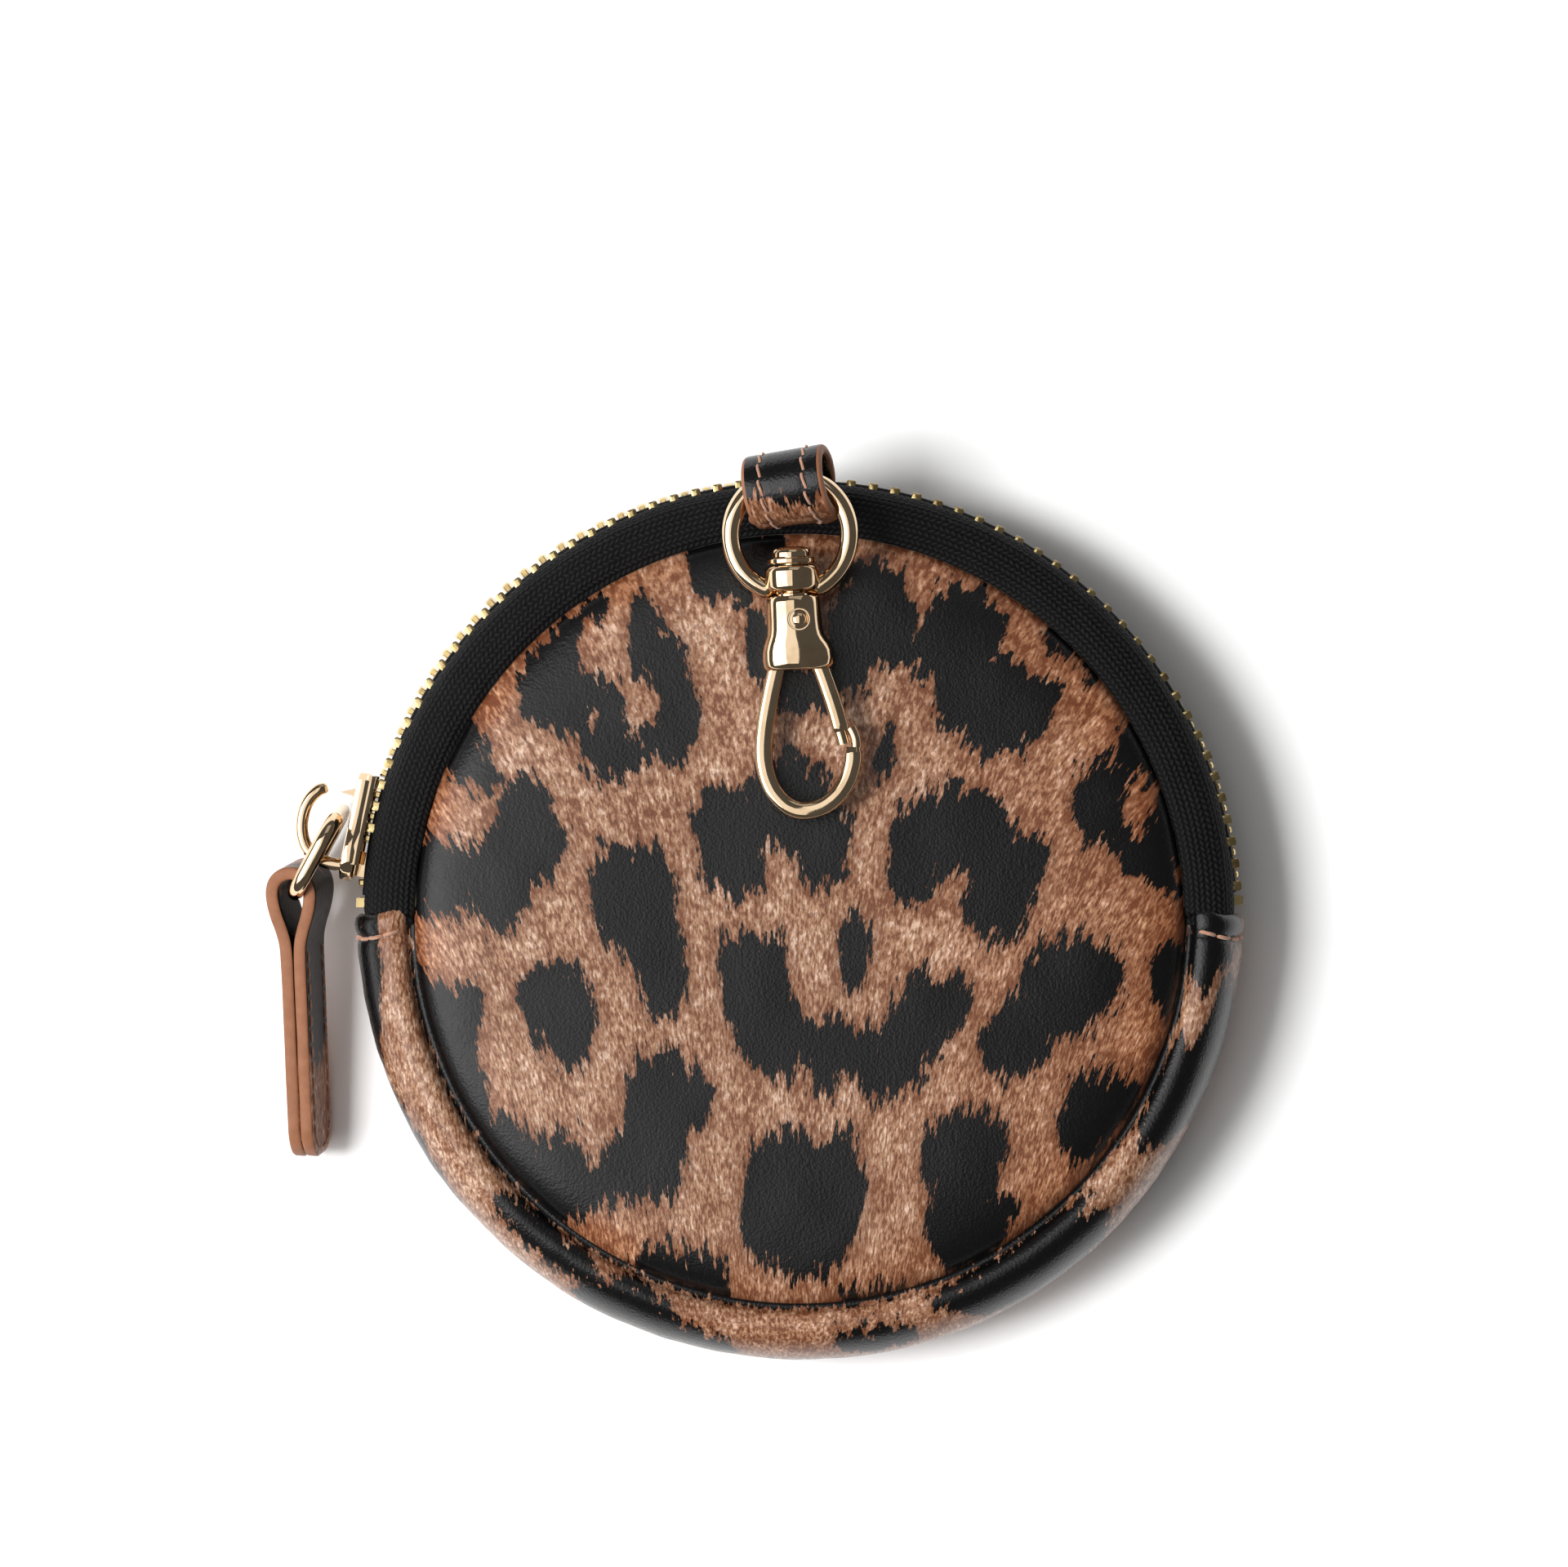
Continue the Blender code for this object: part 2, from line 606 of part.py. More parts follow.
def make_pull_tab():
    """A strap folded round the ring's far bar, its two layers sewn together, with a rounded end."""
    along, across, up = tab_axes()
    place = ring_near() + ring_axes()[0]
    outer, eye = TAB_EYE + TAB_LAYER, TAB_EYE
    half = TAB_LAYER
    bulge = [(outer * math.cos(a), outer * math.sin(a)) for a in (math.radians(d) for d in range(90, 271, 20))]
    outline = bulge + [(3.0 * MM, -outer * 0.92), (6.6 * MM, -half), (TAB_LENGTH, -half)]
    outline += [(TAB_LENGTH, half), (6.6 * MM, half), (3.0 * MM, outer * 0.92)]
    hole = [(eye * math.cos(a), eye * math.sin(a)) for a in (math.radians(d) for d in range(90, 271, 30))]
    hole += [(2.2 * MM, -eye * 0.7), (3.4 * MM, 0.0), (2.2 * MM, eye * 0.7)]
    frame = Matrix((
        (along.x, across.x, up.x, 0.0), (along.y, across.y, up.y, 0.0), (along.z, across.z, up.z, 0.0),
        (0.0, 0.0, 0.0, 1.0),
    ))
    tab = prism("pull_tab", [outline, hole], TAB_WIDTH / 2, frame, PRINTED_LEATHER)
    tab.location = place
    radius = TAB_WIDTH / 2
    end = [(TAB_LENGTH - radius + radius * math.cos(a), radius * 1.001 * math.sin(a))
           for a in (math.radians(d) for d in range(-90, 91, 18))]
    side = [(-10 * MM, radius * 1.001)] + end[::-1] + [(-10 * MM, -radius * 1.001)]
    turn = Matrix(((1, 0, 0, 0), (0, 0, -1, 0), (0, 1, 0, 0), (0, 0, 0, 1)))
    rounded = prism("pull_tab_end", [side], 10 * MM, frame @ turn)
    rounded.location = place
    boolean(tab, rounded, "INTERSECT")


# The hanging loop, and the clip in its own frame: X across, Y along the clip, origin at the ring's middle

def make_loop():
    """A strap bent into a teardrop, its ends sewn into the seam between the front panel and the zip."""
    middle_y, middle_z = CLIP_CENTRE.y + RING_PIVOT, CLIP_CENTRE.z
    outer = LOOP_INNER + STRAP
    arc = [math.radians(d) for d in range(-60, 181, 20)]
    outline = [(middle_y + outer * math.cos(a), middle_z + outer * math.sin(a)) for a in arc]
    seam, foot = PANEL_RADIUS + 0.6 * MM, THICKNESS - SEAM_DROP + 0.1 * MM
    outline += [(seam - 0.1 * MM, foot + 1.7 * MM), (seam, foot), (seam + 2 * STRAP, foot)]
    outline += [(seam + 2 * STRAP + 1.2 * MM, foot + STRAP)]
    hole = [(middle_y + LOOP_INNER * math.cos(a), middle_z + LOOP_INNER * math.sin(a)) for a in arc]
    hole += [(seam + STRAP + 0.5 * MM, foot + 2.9 * MM)]
    place = Matrix(((0, 0, 1, CLIP_CENTRE.x), (1, 0, 0, 0), (0, 1, 0, 0), (0, 0, 0, 1)))
    prism("hanging_loop", [outline, hole], LOOP_WIDTH / 2, place, PRINTED_LEATHER)


def make_clip_ring():
    round_points = circle(RING_RADIUS, 28)
    path = [(x, max(y, RING_FLAT), z) for x, y, z in round_points]
    ring = wire("clip_ring", path, RING_WIRE, GOLD, cyclic=True)
    collar = rod("collar", (0, COLLAR_TOP, 0), (0, COLLAR_LOW, 0), COLLAR_RADIUS)
    boolean(ring, collar, "UNION")
    bore = rod("collar_bore", (0, 0, 0), (0, COLLAR_LOW - COLLAR_RADIUS, 0), PIN_RADIUS + RUNNING)
    boolean(ring, bore)
    return [ring, collar, bore]


def circle(radius, count):
    turns = (2 * math.pi * (i + 0.5) / count for i in range(count))
    return [(radius * math.cos(a), radius * math.sin(a), 0.0) for a in turns]


def make_clip_pin():
    """The pin that the hook is riveted to: a head inside the ring and a shank through the collar."""
    washer_low, washer_top = COLLAR_TOP + RUNNING, COLLAR_TOP + RUNNING + WASHER
    head = washer_top + RUNNING
    pin = rod("swivel_pin", (0, head + PIN_HEAD_HEIGHT, 0), (0, head, 0), PIN_RADIUS + PIN_HEAD, GOLD)
    shank = rod("pin_shank", (0, head + PIN_HEAD_HEIGHT / 2, 0), (0, HOOK_TOP - 1.15 * MM, 0), PIN_RADIUS)
    boolean(pin, shank, "UNION")
    washer = rod("pin_washer", (0, washer_top, 0), (0, washer_low, 0), PIN_RADIUS + WASHER_EDGE, GOLD)
    washer_hole = rod("washer_hole", (0, washer_top + WASHER, 0), (0, washer_low - WASHER, 0), PIN_RADIUS + RUNNING)
    boolean(washer, washer_hole)
    return [pin, shank, washer, washer_hole]


def hook_path(path):
    """Points given in mm across the clip and along it from the hook's top."""
    return [Vector((x * MM, HOOK_TOP + y * MM, 0.0)) for x, y in path]


def make_hook():
    """The hook's body, with a slot for the gate, and its bow."""
    neck, deep = PIN_RADIUS + 0.7 * MM, HOOK_DEPTH
    rows = [
        (0.0, 0.0, neck, neck), (-0.35, 0.0, neck + 0.1 * MM, neck + 0.1 * MM), (-0.45, 0.0, 3.1 * MM, deep - 0.2 * MM),
        (-0.85, 0.0, 3.3 * MM, deep), (-5.15, 0.05, 3.35 * MM, deep), (-6.75, 0.3, 4.2 * MM, deep + 0.1 * MM),
        (-8.55, 0.35, 4.4 * MM, deep + 0.1 * MM), (-9.45, 0.3, 4.1 * MM, deep - 0.2 * MM),
    ]
    sections = [(HOOK_TOP + y * MM, x * MM, half_x, half_z) for y, x, half_x, half_z in rows]
    body = lofted("hook_body", sections, GOLD)
    bow_path = hook_path([
        (-2.2, -7.75), (-2.5, -9.45), (-3.3, -12.45), (-4.1, -15.95), (-4.5, -19.35), (-4.2, -22.15), (-3.3, -24.35),
        (-1.7, -26.05), (0.2, -26.65), (2.4, -26.25), (4.3, -24.95), (5.6, -23.15), (6.3, -21.15), (6.5, -19.15),
    ])
    bow = wire("hook_bow", bow_path, HOOK_WIRE, sides=10)
    bore = rod("hook_bore", (0, HOOK_TOP + 1.05 * MM, 0), (0, HOOK_TOP - 2.95 * MM, 0), PIN_RADIUS + RUNNING)
    slot_half = HOOK_WIRE + 0.25 * MM
    slot = box(
        "gate_slot", (RIVET.x - EYE_RADIUS - 0.45 * MM, HOOK_TOP - 9.95 * MM, -slot_half),
        (6.0 * MM, RIVET.y + EYE_RADIUS + 0.1 * MM, slot_half),
    )
    through = Vector((0, 0, HOOK_DEPTH * 3))
    hole = rod("rivet_hole", RIVET - through, RIVET + through, RIVET_RADIUS + RUNNING)
    boolean(body, slot)
    boolean(body, bow, "UNION")
    boolean(body, bore)
    boolean(body, hole)
    reach = Vector((0, 0, HOOK_DEPTH + RUNNING))
    rivet = rod("gate_rivet", RIVET - reach, RIVET + reach, RIVET_RADIUS, GOLD)
    spring_path = hook_path([(-1.4, -5.55), (-1.35, -6.55), (-0.6, -7.75), (0.6, -8.75)])
    spring = wire("gate_spring", spring_path, SPRING_WIRE, GOLD, sides=6)
    return [body, bow, bore, slot, hole, rivet, spring]


def make_gate():
    """The sprung gate, from its eye on the rivet to the end of the bow."""
    path = hook_path([(0.9, -4.55), (1.9, -6.55), (3.05, -9.45), (4.4, -13.95), (5.45, -17.85)])
    gate = wire("hook_gate", [point - RIVET for point in path], HOOK_WIRE, GOLD, sides=10)
    thin = Vector((0, 0, HOOK_WIRE))
    eye = rod("gate_eye", -thin, thin, EYE_RADIUS)
    hole = rod("gate_eye_hole", -3 * thin, 3 * thin, RIVET_RADIUS + RUNNING)
    boolean(gate, eye, "UNION")
    boolean(gate, hole)
    for made in (gate, eye, hole):
        made.location = RIVET
    return [gate, eye, hole]


def make_clip():
    mount = bpy.data.objects.new("clip_frame", None)
    PARTS.objects.link(mount)
    mount.location = CLIP_CENTRE
    mount.rotation_euler.z = CLIP_TURN
    for made in make_clip_ring() + make_clip_pin() + make_hook() + make_gate():
        made.parent = mount


make_discs()
make_gusset()
make_zip()
make_slider()
make_hook_leaf()
make_pull_ring()
make_pull_tab()
make_loop()
make_clip()
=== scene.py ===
import math

import bmesh
import bpy
import numpy as np
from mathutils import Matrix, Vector


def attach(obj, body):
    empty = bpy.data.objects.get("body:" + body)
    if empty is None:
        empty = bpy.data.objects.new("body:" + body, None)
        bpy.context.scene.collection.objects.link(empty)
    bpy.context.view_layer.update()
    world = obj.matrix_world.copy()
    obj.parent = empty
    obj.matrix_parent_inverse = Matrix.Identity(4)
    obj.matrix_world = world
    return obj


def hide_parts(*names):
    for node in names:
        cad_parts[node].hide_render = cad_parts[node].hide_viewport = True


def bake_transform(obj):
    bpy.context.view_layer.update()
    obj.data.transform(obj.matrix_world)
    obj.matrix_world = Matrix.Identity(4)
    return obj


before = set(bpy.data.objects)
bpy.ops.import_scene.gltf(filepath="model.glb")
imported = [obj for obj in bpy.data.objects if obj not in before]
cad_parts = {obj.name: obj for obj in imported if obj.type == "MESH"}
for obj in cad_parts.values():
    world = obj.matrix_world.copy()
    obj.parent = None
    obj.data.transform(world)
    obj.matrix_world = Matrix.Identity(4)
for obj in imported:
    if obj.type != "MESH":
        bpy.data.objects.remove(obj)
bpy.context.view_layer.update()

MM = 0.001
THICKNESS = 21.0  # of the purse, as the CAD has it
MIDDLE = THICKNESS / 2
LEATHER_THICKNESS = 1.2
LINE_STEP = 0.42  # between the points of a leather section
GUSSET_RADIUS = 53.0  # where lengths round the gusset are measured
TAPE_RADIUS = 52.0  # and round the tapes
ROLL_CENTRE = (50.0, MIDDLE)  # (r, z) of the middle of the gusset's roll


# Mesh helpers. Every point is in millimetres in the row frame until new_object scales it.

def new_object(name, points, faces, material, smooth=60.0, **attributes):
    """A mesh object at the origin; attributes are per-point numbers or triples that its material reads."""
    mesh = bpy.data.meshes.new(name)
    mesh.from_pydata((np.asarray(points) * MM).tolist(), [], [list(map(int, f)) for f in faces])
    mesh.validate()
    for key, value in attributes.items():
        value = np.asarray(value, np.float32)
        kind = "FLOAT" if value.ndim == 1 else "FLOAT_VECTOR"
        made = mesh.attributes.new(key, kind, "POINT")
        made.data.foreach_set("value" if value.ndim == 1 else "vector", value.ravel())
    mesh.materials.append(material)
    for polygon in mesh.polygons:
        polygon.use_smooth = True
    mesh.set_sharp_from_angle(angle=math.radians(smooth))
    made = bpy.data.objects.new(name, mesh)
    bpy.context.scene.collection.objects.link(made)
    return made


def grid_faces(n, m, closed=False):
    """Quads of n rings of m points; closed joins the last ring to the first."""
    i, j = np.meshgrid(np.arange(n if closed else n - 1), np.arange(m), indexing="ij")
    after, beside = ((i + 1) % n) * m, (j + 1) % m
    return np.stack([i * m + j, after + j, after + beside, i * m + beside], -1).reshape(-1, 4).tolist()


def capped_faces(n, m, turn_sides=False, turn_ends=False):
    """The same with a face on the first and the last ring; either kind can be turned over."""
    sides = grid_faces(n, m)
    ends = [list(range(m)), [(n - 1) * m + k for k in range(m)][::-1]]
    if turn_sides:
        sides = [f[::-1] for f in sides]
    if turn_ends:
        ends = [f[::-1] for f in ends]
    return sides + ends


def tube(path, section, closed=False):
    """(points, faces) of a section of (side, up) offsets carried along a path without twisting.
    path is (n, 3); section is (m, 2) or (n, m, 2), anticlockwise seen from the path's end."""
    path = np.asarray(path, float)
    n = len(path)
    if closed:
        along = np.roll(path, -1, 0) - np.roll(path, 1, 0)
    else:
        along = np.gradient(path, axis=0)
    along /= np.linalg.norm(along, axis=1)[:, None]
    side = np.cross(along[0], (0, 0, 1.0))
    if np.linalg.norm(side) < 0.2:
        side = np.cross(along[0], (1.0, 0, 0))
    sides = []
    for t in along:
        side = side - t * (side @ t)
        side /= np.linalg.norm(side)
        sides.append(side)
    sides = np.array(sides)
    ups = np.cross(sides, along)
    section = np.asarray(section, float)
    if section.ndim == 2:
        section = np.broadcast_to(section, (n,) + section.shape)
    m = section.shape[1]
    points = path[:, None] + sides[:, None] * section[..., :1] + ups[:, None] * section[..., 1:]
    return points.reshape(-1, 3), grid_faces(n, m, True) if closed else capped_faces(n, m)


def around(r, angle, z):
    """Points at radius r and height z, turned by angle about the Z axis."""
    return np.stack([r * np.cos(angle), r * np.sin(angle), z], -1).reshape(-1, 3)


def circle_angles(steps):
    return np.arange(steps) * 2 * math.pi / steps


def ring_section(radius, sides=16):
    a = circle_angles(sides)
    return np.stack([radius * np.cos(a), radius * np.sin(a)], 1)


def smooth_path(points, step, closed=False):
    """Points a step apart on a Catmull-Rom curve through the given ones."""
    p = np.asarray(points, float)
    n = len(p)
    spans = n if closed else n - 1
    out = []
    for i in range(spans):
        if closed:
            a, b, c, d = (p[(i + k) % n] for k in (-1, 0, 1, 2))
        else:
            b, c = p[i], p[i + 1]
            a = p[i - 1] if i else 2 * b - c
            d = p[i + 2] if i + 2 < n else 2 * c - b
        count = max(1, int(round(np.linalg.norm(c - b) / step)))
        for k in range(count):
            t = k / count
            out.append(0.5 * (2 * b + (c - a) * t + (2 * a - 5 * b + 4 * c - d) * t ** 2
                              + (3 * b - a - 3 * c + d) * t ** 3))
    if not closed:
        out.append(p[-1])
    return np.array(out)


def smooth_line(pairs, step, closed=False):
    """The same in a plane, for (x, y) pairs."""
    pairs = np.asarray(pairs, float)
    return smooth_path(np.c_[pairs, np.zeros(len(pairs))], step, closed)[:, :2]


def left_normals(line):
    """Unit normals on the left of a line in a plane."""
    direction = np.gradient(line, axis=0)
    direction /= np.linalg.norm(direction, axis=1)[:, None]
    return np.stack([-direction[:, 1], direction[:, 0]], 1)


def lengths_along(line):
    return np.r_[0, np.cumsum(np.linalg.norm(np.diff(line, axis=0), axis=1))]


def join(parts):
    """One (points, faces) from several."""
    points, faces, start = [], [], 0
    for p, f in parts:
        points.append(np.asarray(p))
        faces += [[k + start for k in face] for face in f]
        start += len(p)
    return np.vstack(points), faces


def mend(made):
    """Merges doubles and turns the faces of a closed body outwards."""
    bm = bmesh.new()
    bm.from_mesh(made.data)
    bmesh.ops.remove_doubles(bm, verts=bm.verts, dist=0.000002)
    bmesh.ops.recalc_face_normals(bm, faces=bm.faces)
    bm.to_mesh(made.data)
    bm.free()
    return made


def belongs(made, body, slot, *nodes):
    """Says which body the piece moves with and which CAD nodes it stands for; slot is not used. A piece on the
    mouth only has its placing baked into its points."""
    if body == "mouth":
        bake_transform(made)
    else:
        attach(made, body)
    if nodes:
        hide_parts(*nodes)


def make_stitches(name, paths, radius, body):
    """Threads along the given paths, one piece."""
    points, faces = join([tube(path, ring_section(radius, 8)) for path in paths])
    belongs(mend(new_object(name, points, faces, THREAD, 60.0)), body, "lining")


def hash_noise(x, y, seed):
    """Smooth noise from -1 to 1 on a lattice of unit cells, for whole arrays."""
    x, y = np.asarray(x, float), np.asarray(y, float)
    xi, yi = np.floor(x), np.floor(y)
    fx, fy = x - xi, y - yi
    fx, fy = fx * fx * (3 - 2 * fx), fy * fy * (3 - 2 * fy)

    def corner(a, b):
        v = np.sin(a * 127.1 + b * 311.7 + seed * 74.7) * 43758.5453
        return 2 * (v - np.floor(v)) - 1

    top = corner(xi, yi) * (1 - fx) + corner(xi + 1, yi) * fx
    low = corner(xi, yi + 1) * (1 - fx) + corner(xi + 1, yi + 1) * fx
    return top * (1 - fy) + low * fy


# The leopard print. Spots are outlines in millimetres; the field is the distance to the nearest outline,
# negative inside the black.

FUR_STEP = 0.5
BLACK = -6.0  # a distance well inside the black

def outline_distance(x, y, outline):
    """Signed distance from points to a closed outline, negative inside."""
    p = smooth_line(outline, 1.3, True)
    best = np.full(x.shape, 1e9)
    inside = np.zeros(x.shape, bool)
    for (x0, y0), (x1, y1) in zip(p, np.roll(p, -1, 0)):
        dx, dy = x1 - x0, y1 - y0
        t = np.clip(((x - x0) * dx + (y - y0) * dy) / (dx * dx + dy * dy + 1e-12), 0, 1)
        best = np.minimum(best, (x - x0 - t * dx) ** 2 + (y - y0 - t * dy) ** 2)
        crosses = (y0 > y) != (y1 > y)
        inside ^= crosses & (x < (x1 - x0) * (y - y0) / (y1 - y0 + 1e-12) + x0)
    return np.where(inside, -1.0, 1.0) * np.sqrt(best)


def spot_field(x, y, spots, islands=()):
    """Distance in millimetres to the black of the print, negative inside it, 9 where it is farther."""
    limit = 9.0
    field = np.full(x.shape, limit)
    for kind, outlines in (("spot", spots), ("island", islands)):
        for outline in outlines:
            o = np.asarray(outline, float)
            near = ((x > o[:, 0].min() - limit) & (x < o[:, 0].max() + limit)
                    & (y > o[:, 1].min() - limit) & (y < o[:, 1].max() + limit))
            d = outline_distance(x[near], y[near], outline)
            field[near] = np.minimum(field[near], d) if kind == "spot" else np.maximum(field[near], -d)
    return field


def print_slope(field, ahead):
    """How quickly the field changes along the fur; ahead is the field FUR_STEP mm along it."""
    return np.clip((ahead - field) / FUR_STEP, -1, 1)


def strap_print(u, v, spots, amber_and_shade, start):
    """The attributes of a strap's print: u across it and v along it in mm; start takes the fur elsewhere."""
    field = spot_field(u, v, spots)
    slope = print_slope(field, spot_field(u, v + FUR_STEP, spots))
    return {"print": np.stack([field, slope, 0 * field + amber_and_shade], -1), "fur": np.stack([u + start, v, 0 * u], -1)}


